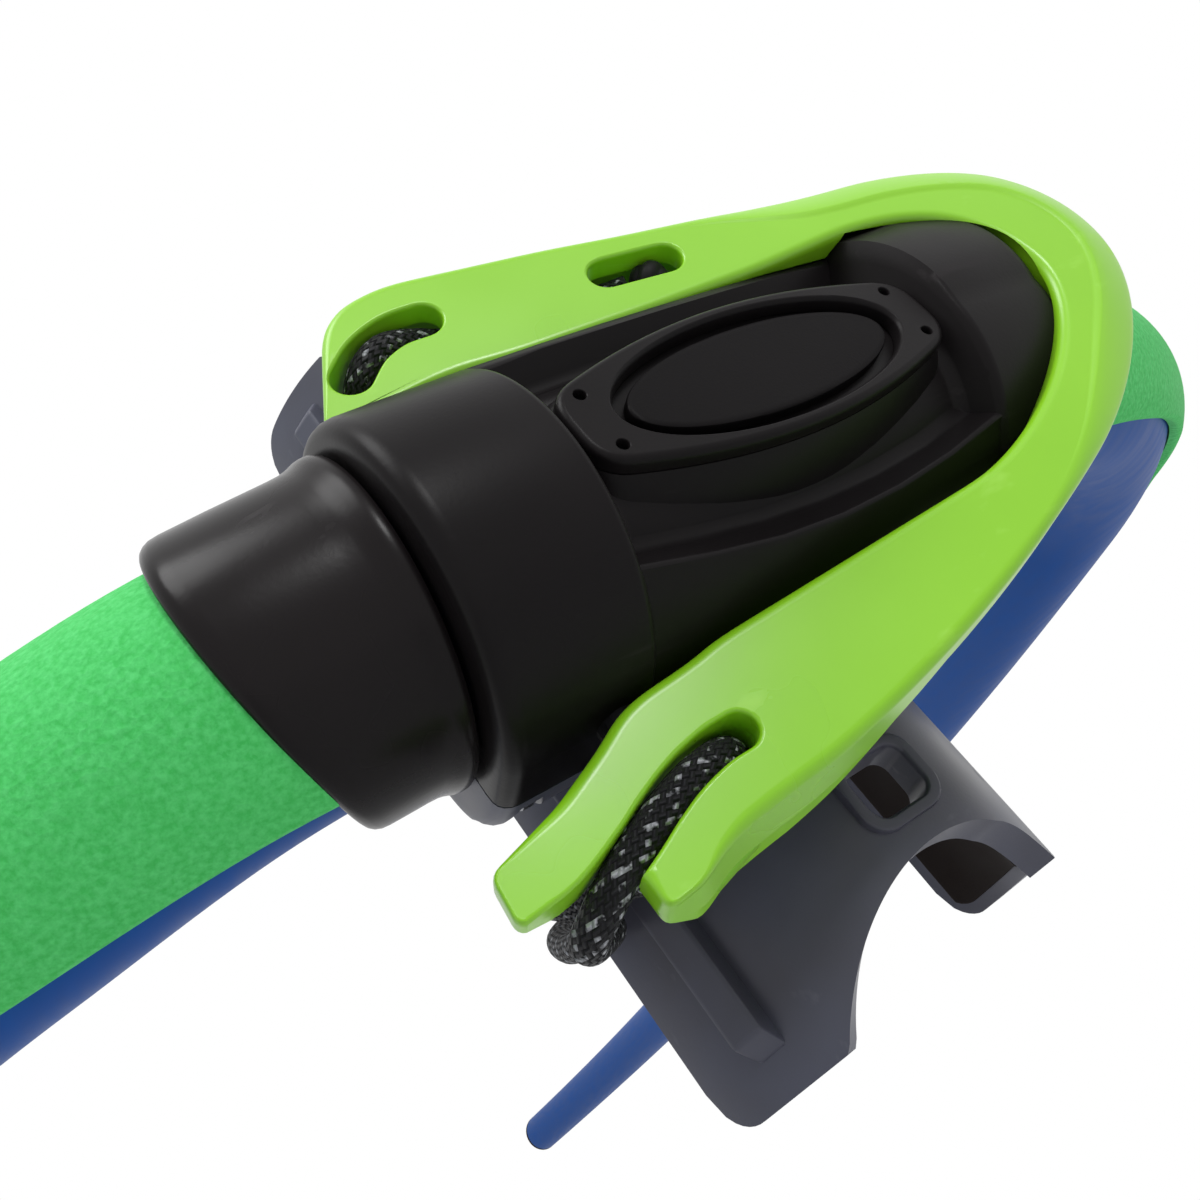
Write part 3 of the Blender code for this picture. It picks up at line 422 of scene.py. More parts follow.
def runAlong(bm, ring, stops):
    for before, stop in zip(stops, stops[1:]):
        verts, ring = grow(bm, ring)
        bmesh.ops.translate(bm, vec=(0, 0, stop - before), verts=verts)
        ring = [e for e in ring if all(abs(v.co.z - stop) < 0.05 for v in e.verts)]
    return ring


def makeTube(side, name):
    bm = bmesh.new()
    stops = armStops(0.15, arm["length"])
    bmesh.ops.create_circle(bm, segments=arm["sides"], radius=arm["radius"],
                            matrix=Matrix.Translation((0, 0, stops[0])))
    runAlong(bm, bm.edges[:], stops)
    bendAlongArm(bm, side)
    tube = makeObject(name, bm, anodisedBlue)
    thicken(tube, arm["wall"])
    return shadeSoft(tube, 40)


# EVA grip: a sheet wrapped round the outboard half of the arm, its edges skived round
grip = {"inner": 14.3, "outer": 16.4, "halfAngle": radians(87), "start": 53.15, "end": 640.0, "edge": 1.1,
        "frontTurn": 12, "rearTurn": 45, "turnStart": 58, "turnLength": 89.7}


def makeGrip(side, name):
    bm = bmesh.new()
    low = -grip["halfAngle"]
    verts = [bm.verts.new((r * cos(low), r * sin(low), grip["start"])) for r in (grip["inner"], grip["outer"])]
    edge = bm.edges.new(verts)
    bmesh.ops.spin(bm, geom=verts + [edge], cent=(0, 0, 0), axis=(0, 0, 1), angle=2 * grip["halfAngle"], steps=44)
    corners = [v for v in bm.verts if len(v.link_edges) == 2 and hypot(v.co.x, v.co.y) > grip["outer"] - 0.01]
    roundOff(bm, corners, grip["edge"], 3, affect="VERTICES")
    ring = runAlong(bm, [e for e in bm.edges if e.is_boundary], armStops(grip["start"], grip["end"]))
    bmesh.ops.holes_fill(bm, edges=ring, sides=0)
    for vert in bm.verts:
        share = unit((vert.co.z - grip["turnStart"]) / grip["turnLength"])
        middle = radians(mix(grip["frontTurn"], grip["rearTurn"], share))
        vert.co = Matrix.Rotation(middle, 3, "Z") @ vert.co
    bendAlongArm(bm, side)
    return softObject(name, bm, evaFoam, 45)


# Cups over the grip ends: bead at the base, rim leaning back under the arm
cup = {"start": 44.45, "slant": 3.5, "turn": radians(25), "baseLean": 0.0849, "leanSpan": (3.2, 9.4), "lift": 1.1,
       "liftFrom": 15,
       "profile": [(18.3, 0), (18.8, 0.2), (19.0, 0.6), (19.0, 1.2), (18.9, 1.7), (18.7, 2.2), (18.48, 2.8),
                   (18.32, 3.6), (18.25, 4.8), (18.2, 9.0), (18.15, 12.0), (18.05, 12.9), (17.8, 13.5), (17.45, 13.9),
                   (17.1, 14.08), (16.9, 14.1), (16.75, 13.9), (16.7, 13.4), (16.7, 9.0), (16.7, 4.2), (14.3, 4.0),
                   (14.3, 0)]}


def makeCup(side, name):
    bm = bmesh.new()
    turnProfile(bm, cup["profile"], 96, closed=True)
    for vert in bm.verts:
        lean = ease(vert.co.z, *cup["leanSpan"])
        radius, angle = hypot(vert.co.x, vert.co.y), atan2(vert.co.y, vert.co.x)
        slant = lean * cup["slant"] - (1 - lean) * radius * cup["baseLean"]
        vert.co.z += cup["start"] + slant * cos(angle - lean * cup["turn"])
        if radius > cup["liftFrom"]:
            vert.co.y += cup["lift"]
    bendAlongArm(bm, side)
    return softObject(name, bm, cupNylon, 40)


# Plugs that close the tails, with a moulded dimple
plug = {"profile": [(0, 1018), (11.4, 1018), (12.3, 1019), (12.3, 1040.3), (13.9, 1040.3), (14.0, 1040.5),
                    (14.0, 1042.4), (13.75, 1043.0), (13.2, 1043.3), (6.4, 1043.3), (5.9, 1043.1), (5.2, 1042.5),
                    (0, 1042.3)]}


def makePlug(side, name):
    bm = bmesh.new()
    turnProfile(bm, plug["profile"], arm["sides"])
    bendAlongArm(bm, side)
    return softObject(name, bm, castRubber, 40)


for side, sideName in ((-1, "port"), (1, "starboard")):
    setIn(makeTube(side, sideName + "Tube"), "head", sideName + "_arm_tube")
    setIn(makeGrip(side, sideName + "GripSheet"), "head", sideName + "_grip")
    setIn(makeCup(side, sideName + "CupShell"), "head", sideName + "_cup")
    setIn(makePlug(side, sideName + "TailPlug"), "head", sideName + "_end_plug")
print("arms, grips, cups and plugs made")


# Front shell: turned about the tube, a sunk panel let into its face, bent a little and split behind
shell = {"bore": 14.3, "boreSkin": 0.6, "outside": 18, "crown": 21.4, "halfLength": 44.0, "bend": 530.0,
         "split": 8.85, "steps": 120, "rim": 0.45, "foot": 1.3, "panelHalf": 26.4, "panelLow": -54, "panelTop": 49,
         "floor": 16.5, "floorWide": 0.945, "floorTurn": 0.955, "keelMiddle": 2, "keelHalf": 27, "keelSpan": 36,
         "keelDip": 2, "keelRise": 12.5, "dome": 2.4, "domeStart": 26.5, "domeBlend": 1.5, "domeAngle": 44,
         "domeSpan": 50, "backFrom": 17.5, "backPower": 0.6, "upPower": 0.45,
         "half": [(0, 20.8), (8.8, 20.8), (17.6, 20.8), (26.4, 20.8), (26.9, 21.25), (27.4, 21.4), (34.0, 21.4),
                  (41.6, 21.4), (42.5, 21.28), (43.2, 20.95), (43.7, 20.45), (43.94, 19.8), (44.0, 18.8)]}


def turnBody(bm, half):
    outside = [(-x, r) for x, r in reversed(half)] + half[1:]
    bore = [(x, shell["bore"]) for x in spread(shell["halfLength"], -shell["halfLength"], 17)]
    verts = [bm.verts.new((x, -r, 0)) for x, r in outside + bore]
    edges = [bm.edges.new((verts[i - 1], verts[i])) for i in range(len(verts))]
    bmesh.ops.spin(bm, geom=verts + edges, cent=(0, 0, 0), axis=(1, 0, 0), angle=2 * pi, steps=shell["steps"],
                   use_merge=True)
    bmesh.ops.remove_doubles(bm, verts=bm.verts, dist=0.001)
    bmesh.ops.recalc_face_normals(bm, faces=bm.faces)


def squareBack(bm):   # behind the tube the housing runs straight back before it turns in
    for vert in bm.verts:
        radius = hypot(vert.co.y, vert.co.z)
        if radius > shell["backFrom"] and vert.co.y > 0:
            back, up = vert.co.y / radius, abs(vert.co.z) / radius
            vert.co.y = radius * back ** shell["backPower"]
            vert.co.z *= up ** shell["upPower"] / max(up, 0.001)


def bendBody(bm):   # the bore follows the tube, the outside a gentler bend
    for vert in bm.verts:
        x, radius = vert.co.x, hypot(vert.co.y, vert.co.z)
        lean = x / shell["bend"]
        along, back, _ = armAxis(abs(x))
        middle = Vector((x, x * x / (2 * shell["bend"]), 0))
        if radius < shell["bore"] + shell["boreSkin"]:
            middle = Vector((along if x > 0 else -along, back * cos(arm["rise"]), back * sin(arm["rise"])))
        vert.co = middle + Vector((-vert.co.y * sin(lean), vert.co.y * cos(lean), vert.co.z))


def splitBody(bm, plane, keepFront):
    geom = bm.verts[:] + bm.edges[:] + bm.faces[:]
    cut = bmesh.ops.bisect_plane(bm, geom=geom, dist=0.0001, plane_co=(0, plane, 0), plane_no=(0, 1, 0),
                                 clear_outer=keepFront, clear_inner=not keepFront)
    bmesh.ops.holes_fill(bm, edges=only(bmesh.types.BMEdge, cut["geom_cut"]), sides=0)


def domeRise(x, angle):   # the starboard shoulder swells up into the lever's nose
    share = unit((x - shell["domeStart"]) / shell["domeBlend"])
    return shell["dome"] * share * max(0, 1 - ((angle - shell["domeAngle"]) / shell["domeSpan"]) ** 2)


def aroundTube(point):   # distance from the tube's middle, and degrees up from straight ahead
    return hypot(point.y, point.z), degrees(atan2(point.z, -point.y))


def edgesOf(faces):
    return list(dict.fromkeys(e for f in faces for e in f.edges))


def makeShell():
    bm = bmesh.new()
    turnBody(bm, shell["half"])
    panel = []
    for face in bm.faces:
        middle = face.calc_center_median()
        radius, angle = aroundTube(middle)
        if radius > shell["outside"] and abs(middle.x) < shell["panelHalf"]:
            if shell["panelLow"] < angle < shell["panelTop"]:
                panel.append(face)
    for vert in bm.verts:   # the panel's lower rim runs like a boat's keel, and its top stands up to the lever
        x, (radius, angle) = vert.co.x, aroundTube(vert.co)
        if radius > shell["outside"] and abs(angle) < 120:
            if abs(x) < shell["panelHalf"] + 0.1 and angle > shell["panelTop"] - 1:
                radius = shell["crown"]
            near = ease(1 - abs(angle - shell["panelLow"]) / shell["keelSpan"])
            place = min(1, max(-1, (x - shell["keelMiddle"]) / shell["keelHalf"]))
            angle += near * (shell["keelRise"] * place * place - shell["keelDip"])
            radius += domeRise(x, angle)
            vert.co = (x, -radius * cos(radians(angle)), radius * sin(radians(angle)))
    sunk = bmesh.ops.extrude_face_region(bm, geom=panel)["geom"]
    bmesh.ops.delete(bm, geom=[f for f in panel if f.is_valid], context="FACES_ONLY")
    floor = only(bmesh.types.BMFace, sunk)
    for vert in only(bmesh.types.BMVert, sunk):
        angle = atan2(vert.co.z, -vert.co.y) * shell["floorTurn"]
        vert.co = (vert.co.x * shell["floorWide"], -shell["floor"] * cos(angle), shell["floor"] * sin(angle))
    floorSet = set(floor)
    foot = [e for e in edgesOf(floor) if len([f for f in e.link_faces if f in floorSet]) == 1]
    walls = dict.fromkeys(f for e in foot for f in e.link_faces if f not in floorSet)
    rim = [e for e in edgesOf(walls) if any(f not in walls and f not in floorSet for f in e.link_faces)]
    roundOff(bm, rim, shell["rim"], 3)
    roundOff(bm, [e for e in foot if e.is_valid], shell["foot"], 4)
    squareBack(bm)
    bendBody(bm)
    splitBody(bm, shell["split"], True)
    return softObject("housingShell", bm, blackNylon, 38)


setIn(makeShell(), "head", "front_shell")


# Face plate on its pedestal: boat shaped, oval window, four small holes
plate = {"outline": (26.0, 9.5, 4.8), "corner": 3.6, "back": 16.8, "face": 18.8, "edge": 0.9, "window": (20.3, 7.83),
         "lip": ((0, -12), (0, -18.1), (0.1, -18.4), (0.35, -18.7), (0.7, -18.9), (0.8, -24)),
         "holes": (22.6, 3.7), "holeRadius": 0.68, "holeSides": 28,
         "holeLip": ((0, -12), (0, -18.6), (0.06, -18.75), (0.2, -18.85), (0.3, -22))}
pedestal = {"bore": 15.2, "rows": ((26.5, 12.6, 8.0, -10.0), (26.4, 11.2, 6.6, -13.6), (26.2, 10.0, 5.4, -15.8),
                                   (26.0, 9.5, 4.8, -16.6))}
badge = {"outline": (18.6, 6.3), "rows": ((0, -16.8), (0, -17.75), (-0.12, -17.97), (-0.4, -18.08), (-0.9, -18.1))}
corners = [(sx, sz) for sx in (-1, 1) for sz in (-1, 1)]
alongX = Matrix.Rotation(pi / 2, 4, "Y")


def boat(halfLength, halfHeight, endHeight, y, count=21):
    points = []
    for sign in (1, -1):
        for x in spread(halfLength, -halfLength, count):
            bow = halfHeight - (halfHeight - endHeight) * (x / halfLength) ** 2
            points.append(Vector((sign * x, y, sign * bow)))
    rounded = []
    for i, point in enumerate(points):   # the four corners get a round of their own
        before, after = points[i - 1], points[(i + 1) % len(points)]
        if i % count in (0, count - 1):
            first = point + (before - point).normalized() * plate["corner"]
            last = point + (after - point).normalized() * plate["corner"]
            for t in spread(0, 1, 7):
                rounded.append(first * (1 - t) ** 2 + point * 2 * t * (1 - t) + last * t * t)
        elif min((point - points[j * count + k]).length for j in (0, 1) for k in (0, count - 1)) > plate["corner"]:
            rounded.append(point)
    return rounded


def ovals(outline, rows):
    return [[Vector(((outline[0] + more) * cos(a), y, (outline[1] + more) * sin(a))) for a in circle(96)]
            for more, y in rows]


def makePlate():
    bm = bmesh.new()
    loft(bm, [boat(*plate["outline"], -plate["back"]), boat(*plate["outline"], -plate["face"])])
    front = min(bm.faces, key=lambda f: f.calc_center_median().y)
    roundOff(bm, list(front.edges), plate["edge"], 4)
    piece = makeObject("facePlate", bm, blackNylon)
    cutters = [loftObject("windowCutter", ovals(plate["window"], plate["lip"]))]   # its lip opens to the front
    for sx, sz in corners:
        x, z = sx * plate["holes"][0], sz * plate["holes"][1]
        cutters.append(loftObject("holeCutter", [
            [Vector((x, y, z)) + Vector((cos(a), 0, sin(a))) * (plate["holeRadius"] + flare)
             for a in circle(plate["holeSides"])] for flare, y in plate["holeLip"]]))
    carve(piece, cutters)
    return shadeSoft(piece)


def makePedestal():
    piece = loftObject("platePedestal", [boat(*row) for row in pedestal["rows"]], blackNylon)
    carve(piece, [rod("boreCutter", pedestal["bore"], 120, 96, alongX)])
    return shadeSoft(piece)


def makeBadge():
    piece = loftObject("ovalBadge", ovals(badge["outline"], badge["rows"]), matteNylon)
    return shadeSoft(piece, 40)


setIn(makePlate(), "head", "face_plate")
setIn(makePedestal(), "head")
setIn(makeBadge(), "head", "oval_badge")
print("housing, plate and badge made")


# Mast cradle: half pipe with scooped ends, saddle behind the tube, ribs and eyelets
cradle = {"radius": 30.1, "channel": 26.1, "halfHeight": 58.6, "portAngle": 82, "starboardAngle": 109,
          "scoopRadius": 24.2, "scoopDepth": 12.0, "tip": 6.0, "steps": 112, "ribHeight": 2.8, "slim": 1.6,
          "slimSpan": (12, 30), "drop": 3.2, "dropFrom": 20, "dropSpan": 30, "eyelet": (9.0, 7.0, 38.5),
          "eyeletRoom": 1.2, "eyeletCorner": 2.6, "edge": 0.6, "ribRoot": 2.0, "ribEdge": 0.5}


def roundMast(angle, radius, z):
    return Vector((radius * sin(radians(angle)), mastBack - radius * cos(radians(angle)), z))


def cradleTop(angle):
    across = cradle["radius"] * sin(radians(abs(angle)))
    centre = cradle["halfHeight"] - cradle["scoopDepth"] + cradle["scoopRadius"]
    top = cradle["halfHeight"]
    if across < cradle["scoopRadius"] and abs(angle) < 60:
        top = min(top, centre - sqrt(cradle["scoopRadius"] ** 2 - across ** 2))
    left = cradle["radius"] * radians(cradle["starboardAngle" if angle > 0 else "portAngle"] - abs(angle))
    if left < cradle["tip"]:
        top -= cradle["tip"] - sqrt(max(0, cradle["tip"] ** 2 - (cradle["tip"] - left) ** 2))
    if angle > cradle["dropFrom"]:
        top -= cradle["drop"] * min(1, (angle - cradle["dropFrom"]) / cradle["dropSpan"])
    return top


def roundedBox(width, height, corner, y, lift, count=7):
    points = []
    for number, (sx, sz) in enumerate(((1, 1), (-1, 1), (-1, -1), (1, -1))):
        for i in range(count):
            angle = pi / 2 * (number + i / (count - 1))
            points.append(Vector((sx * (width / 2 - corner) + corner * cos(angle), y,
                                  lift + sz * (height / 2 - corner) + corner * sin(angle))))
    return points


def makeCradle():
    bm = bmesh.new()
    upright = [bm.verts.new(roundMast(-cradle["portAngle"], cradle["radius"], share)) for share in spread(-1, 1, 41)]
    edges = [bm.edges.new(pair) for pair in zip(upright, upright[1:])]
    bmesh.ops.spin(bm, geom=upright + edges, cent=(0, mastBack, 0), axis=(0, 0, 1),
                   angle=radians(cradle["portAngle"] + cradle["starboardAngle"]), steps=cradle["steps"])
    for vert in bm.verts:
        angle = degrees(atan2(vert.co.x, mastBack - vert.co.y))
        slim = cradle["slim"] * ease(angle, *cradle["slimSpan"])
        vert.co = roundMast(angle, cradle["radius"] - slim, vert.co.z * cradleTop(angle))
    bmesh.ops.recalc_face_normals(bm, faces=bm.faces)
    if bm.faces[0].normal.dot(bm.faces[0].calc_center_median() - Vector((0, mastBack, 0))) < 0:
        bmesh.ops.reverse_faces(bm, faces=bm.faces)
    piece = makeObject("mastCradle", bm, greyNylon, tidy=False)
    thicken(piece, cradle["radius"] - cradle["channel"], even=True)
    wide, tall, lift = cradle["eyelet"]
    room, corner = cradle["eyeletRoom"], cradle["eyeletCorner"]
    carve(piece, [loftObject("eyeletCutter", [
        roundedBox(wide + room, tall + room, corner, y, sign * lift) for y in (5, 25)]) for sign in (-1, 1)])
    soften = piece.modifiers.new("edges", "BEVEL")
    soften.width = cradle["edge"] / 1000
    soften.segments = 2
    soften.limit_method = "ANGLE"
    soften.angle_limit = radians(50)
    settle(piece)
    carve(piece, [rod("tubeCutter", shell["bore"], 130, 120, alongX)])
    return shadeSoft(piece, 35)


saddle = {"stops": (0, 12.0, 26.0), "split": 9.15, "mastRadius": 27.2, "screws": (39.0, 36.0, 17.85),
          "screwRadius": 3.5}


def makeSaddle():
    bm = bmesh.new()
    turnBody(bm, [(x, shell["crown"]) for x in saddle["stops"]] + shell["half"][-6:])
    squareBack(bm)
    bendBody(bm)
    splitBody(bm, saddle["split"], False)
    piece = makeObject("cradleSaddle", bm, greyNylon)
    cutters = [rod("mastCutter", saddle["mastRadius"], 200, 160, Matrix.Translation((0, mastBack, 0)))]
    out, back, up = saddle["screws"]
    for sx, sz in corners:
        place = Matrix.Translation((sx * out, back, sz * up)) @ Matrix.Rotation(pi / 2, 4, "X")
        cutters.append(rod("screwCutter", saddle["screwRadius"], 50, 40, place))
    carve(piece, cutters)
    return shadeSoft(piece, 35)


def makeRib(name, first, last, low, high):
    slope = min(cradle["ribHeight"], (high - low) / 4)
    root, face = cradle["radius"] - cradle["ribRoot"], cradle["radius"] + cradle["ribHeight"]
    bm = bmesh.new()
    loft(bm, [[roundMast(a, root, low), roundMast(a, cradle["radius"], low), roundMast(a, face, low + slope),
               roundMast(a, face, high - slope), roundMast(a, cradle["radius"], high), roundMast(a, root, high)]
              for a in spread(first, last, 7)])
    roundSharp(bm, 30, cradle["ribEdge"])
    return setIn(softObject(name, bm, greyNylon, 35), "head")


def makeEyelet(name, sign):
    wide, tall, lift = cradle["eyelet"]
    front = mastBack - cradle["radius"]
    bm = bmesh.new()
    # a raised lip, rolled over into the hole
    rows = [(3.5, 3.4, 2.0), (3.5, 3.4, -0.2), (3.25, 3.3, -0.42), (2.8, 3.1, -0.5), (1.0, 2.4, -0.5),
            (0.5, 2.2, -0.35), (0.1, 2.0, 0.15), (0.0, 2.0, 4.2), (1.3, 2.6, 4.2)]
    loft(bm, [roundedBox(wide + more, tall + more, corner, front + y, sign * lift) for more, corner, y in rows],
         capped=False)
    return setIn(softObject(name, bm, greyNylon, 40), "head")


pad = {"inner": 24.0, "outer": 25.8, "start": 16, "short": 4, "lower": 1.8, "edge": 0.4}


def makePad(side, name):
    bm = bmesh.new()
    rows = []
    inner, outer = pad["inner"], pad["outer"]
    last = cradle["starboardAngle" if side > 0 else "portAngle"] - pad["short"]
    for angle in spread(pad["start"], last, 49):
        high = cradleTop(side * angle) - pad["lower"]
        rows.append([roundMast(side * angle, r, z)
                     for r, z in ((inner, high), (inner, -high), (outer, -high), (outer, high))])
    loft(bm, rows)
    roundSharp(bm, 40, pad["edge"])
    return setIn(softObject(name, bm, castRubber, 40), "head", name.replace("MastPad", "_mast_pad"))


setIn(makeCradle(), "head", "mast_cradle")
setIn(makeSaddle(), "head")
makeRib("portRib", -62.0, -53.6, -54.0, 54.0)
makeRib("turnLug", 62.1, 68.9, 7.8, 20.2)
makeRib("lowerLug", 62.1, 68.9, -21.3, -16.3)
makeRib("upperLug", 62.1, 68.9, -10.7, -5.7)
makeEyelet("lowerEyelet", -1)
makeEyelet("upperEyelet", 1)
makePad(-1, "portMastPad")
makePad(1, "starboardMastPad")
print("cradle made")


# Clamp lever, laid out on its own front plane: u along it, z up, d behind it
lever = {"front": 11.6, "tilt": radians(11.06), "armHeight": 38.0, "depthArm": 9.8, "depthNose": 6.2, "depthEnd": 4.6,
         "edge": 1.3, "crease": 4.8, "roll": 2.3, "steep": 0.55, "ridge": 0.25, "corner": 3.2, "wideGap": 21.85,
         "narrowGap": 21.25, "insideTip": 45.9, "bow": 3.4, "heel": 32.0, "flare": 1.6, "noseLow": 22.0, "skin": 3.0,
         "web": 1.2, "pocketCorner": 1.6, "slot": 3.9, "upperSlot": 5.0, "smallSlot": 4.6, "pivot": (-31.0, 0.5),
         "socket": (2.8, 12, 20.4), "bodyRoom": 21.45, "tubeRoom": 19.85, "bodyEnd": 45.5, "lineStart": -24,
         "lineLength": 62, "bowMiddle": 10, "bowHalf": 36, "rollUpper": (12, 18), "rollLower": (21, 29),
         "thinFrom": -30, "thinLength": 14, "noseFrom": 30}
noseInside = lever["insideTip"] / cos(lever["tilt"])


def onLever(u, z, d=0.0):
    t = lever["tilt"]
    return Vector((u * cos(t) + d * sin(t), -lever["front"] - u * sin(t) + d * cos(t), z))


def bezier(a, b, c, d, count):
    return [tuple((1 - t) ** 3 * a[i] + 3 * t * (1 - t) ** 2 * b[i] + 3 * t * t * (1 - t) * c[i] + t ** 3 * d[i]
                  for i in (0, 1)) for t in spread(0, 1, count)]


def softCorners(points, reach, count=6, gap=1.6):
    made = []
    for i, point in enumerate(points):
        here, before, after = Vector(point), Vector(points[i - 1]), Vector(points[(i + 1) % len(points)])
        back, on = before - here, after - here
        tight = reach * (1 if here.x > -35 else 0.4)   # the arm ends are crisper than the rest
        first = here + back * min(0.48, tight / back.length)
        last = here + on * min(0.48, tight / on.length)
        made += [first * (1 - t) ** 2 + here * 2 * t * (1 - t) + last * t * t for t in spread(0, 1, count)]
    even = []
    for place in made:   # drop points that crowd, fill long runs
        if even and (place - even[-1]).length < 0.25:
            continue
        if even and (place - even[-1]).length > gap:
            steps = int((place - even[-1]).length / gap) + 1
            start = even[-1].copy()
            even += [start.lerp(place, n / steps) for n in range(1, steps)]
        even.append(place)
    return even


wide, narrow, high = lever["wideGap"], lever["narrowGap"], lever["armHeight"]
outerNose = bezier((38, 24.0), (43.5, 22.75), (49.8, 20.3), (53.8, 17.0), 9)
outerNose += bezier((53.8, 17.0), (57.6, 14.0), (60.9, 8.2), (60.3, 1.5), 10)[1:]
innerNose = bezier((16, narrow), (30, narrow * 0.95), (noseInside, narrow * 0.43), (noseInside, 0), 16)
upperInner = bezier((noseInside, 0), (noseInside, narrow * 0.55), (37, narrow * 0.72), (28, narrow * 0.76), 14)[1:]
rimSide = [(-5.6, 34.0), (4.6, 31.0), (15.4, 28.3), (21, 27.2), (26.7, 26.2), (32, 25.1)] + outerNose


def armLine(u):
    return high + (lever["noseLow"] - high) * (u - lever["lineStart"]) / lever["lineLength"]


def lowerHeight(u):   # the lower arm bows outwards between its end and the heel of the nose
    return armLine(u) + lever["bow"] * (1 - ((u - lever["bowMiddle"]) / lever["bowHalf"]) ** 2)


heel = lever["heel"]
lowerNose = bezier((60.3, 1.5), (59.6, -9.8), (heel + 14, -lowerHeight(heel) * 0.79), (heel, -lowerHeight(heel)), 16)
leverOuter = [(-41.2, wide + 0.3), (-34.6, high - 2.6), (-31.4, high - 0.1), (-28.0, high + 0.6), (-24.0, high + 0.6)]
leverOuter += rimSide + lowerNose[1:] + [(u, -lowerHeight(u)) for u in (27, 21, 15, 9, 3, -3, -9, -14, -19)]
leverOuter += [(-25.0, -high - 0.1), (-32.0, -high - 0.5), (-37.2, -high - 2.4), (-41.3, -high - 2.6), (-41.4, -36.0),
               (-53.0, -34.6), (-52.6, -29.2)]
leverInner = [(-44.0, -27.0), (-38.0, -24.6), (-33.0, -wide - 0.3), (-25.0, -wide), (-21.0, -narrow)]
leverInner += [(u, -z) for u, z in innerNose] + upperInner
leverInner += [(15.0, narrow * 0.78), (0.0, narrow * 0.85), (-17.0, narrow * 0.95), (-25.0, wide)]


def rimShare(u, z):   # how far the nose's wide roll has come in; tight corners roll less than the rest
    if (u < -36 and z > 0) or z < -40.0 or u < -52:
        return -0.25
    return ease(u, *lever["rollUpper" if z > 0 else "rollLower"])


def leverDepth(u):
    share, goal = unit((u - lever["noseFrom"]) / (noseInside - lever["noseFrom"])), lever["depthNose"]
    if u < lever["thinFrom"]:
        share, goal = unit((lever["thinFrom"] - u) / lever["thinLength"]), lever["depthEnd"]
    return mix(lever["depthArm"], goal, share)


def slotLoop(path, width, more=0.0):   # a round-ended band along a path
    places = [Vector(p) for p in path]
    left, right = [], []
    for i, place in enumerate(places):
        along = (at(places, i + 1) - at(places, i - 1)).normalized()
        across = Vector((-along.y, along.x)) * (width / 2 + more)
        left.append(place + across)
        right.append(place - across)
    ends = []
    for centre, rim in ((places[-1], left[-1]), (places[0], right[0])):
        ends.append([centre + Matrix.Rotation(-pi * i / 12, 2) @ (rim - centre) for i in range(1, 12)])
    return left + ends[0] + list(reversed(right)) + ends[1]


def smoothPath(points, pieces=6):
    places = [Vector(p) for p in points]
    made = []
    for i in range(len(places) - 1):
        before, a, b, after = (at(places, i + n) for n in (-1, 0, 1, 2))
        for t in [n / pieces for n in range(pieces)]:
            made.append(0.5 * (2 * a + (b - before) * t + (2 * before - 5 * a + 4 * b - after) * t * t
                               + (3 * a - before - 3 * b + after) * t ** 3))
    return made + [places[-1]]


def slotCutter(name, path, width):   # opens out at the front so that the slot's edge comes out rounded
    rows = [(40, 0.0), (0.55, 0.0), (0.33, 0.05), (0.16, 0.15), (0.05, 0.29), (0.0, 0.45), (-0.3, 0.6), (-30, 0.6)]
    return loftObject(name, [[onLever(p.x, p.y, d) for p in slotLoop(path, width, more)] for d, more in rows])


slotPaths = {"upperSlot": [(-23.8, 31.0), (-27.5, 31.3), (-31.5, 30.1), (-34.8, 27.6)],
             "lowerSlot": [(-25.5, -30.6), (-28.5, -30.6), (-32.4, -31.3), (-36.0, -32.5), (-40.4, -34.3),
                           (-46.0, -36.1), (-52.0, -36.6), (-64.0, -37.2)],
             "smallSlot": [(-0.9, 26.0), (2.9, 25.2), (6.7, 24.4)]}


def bodyRoom():   # room for the housing behind the lever
    rows = []
    turns = [2 * pi * i / 120 for i in range(-60, 60)]
    for x in (-70, -52, -46, -45, -30, -15, 0, 15, 26.4, 28, 45, 46, 52, 60, 75):
        lean = x / shell["bend"]
        along, back, _ = armAxis(abs(x))
        middle, reach = Vector((along if x > 0 else -along, back, 0)), lever["tubeRoom"]
        if abs(x) < lever["bodyEnd"]:
            middle, reach = Vector((x, x * x / (2 * shell["bend"]), 0)), lever["bodyRoom"]
        ahead = Vector((sin(lean), -cos(lean), 0))
        rows.append([middle + (ahead * cos(a) + Vector((0, 0, sin(a)))) * (reach + domeRise(x, degrees(a)))
                     for a in turns])
    return loftObject("bodyRoom", rows)


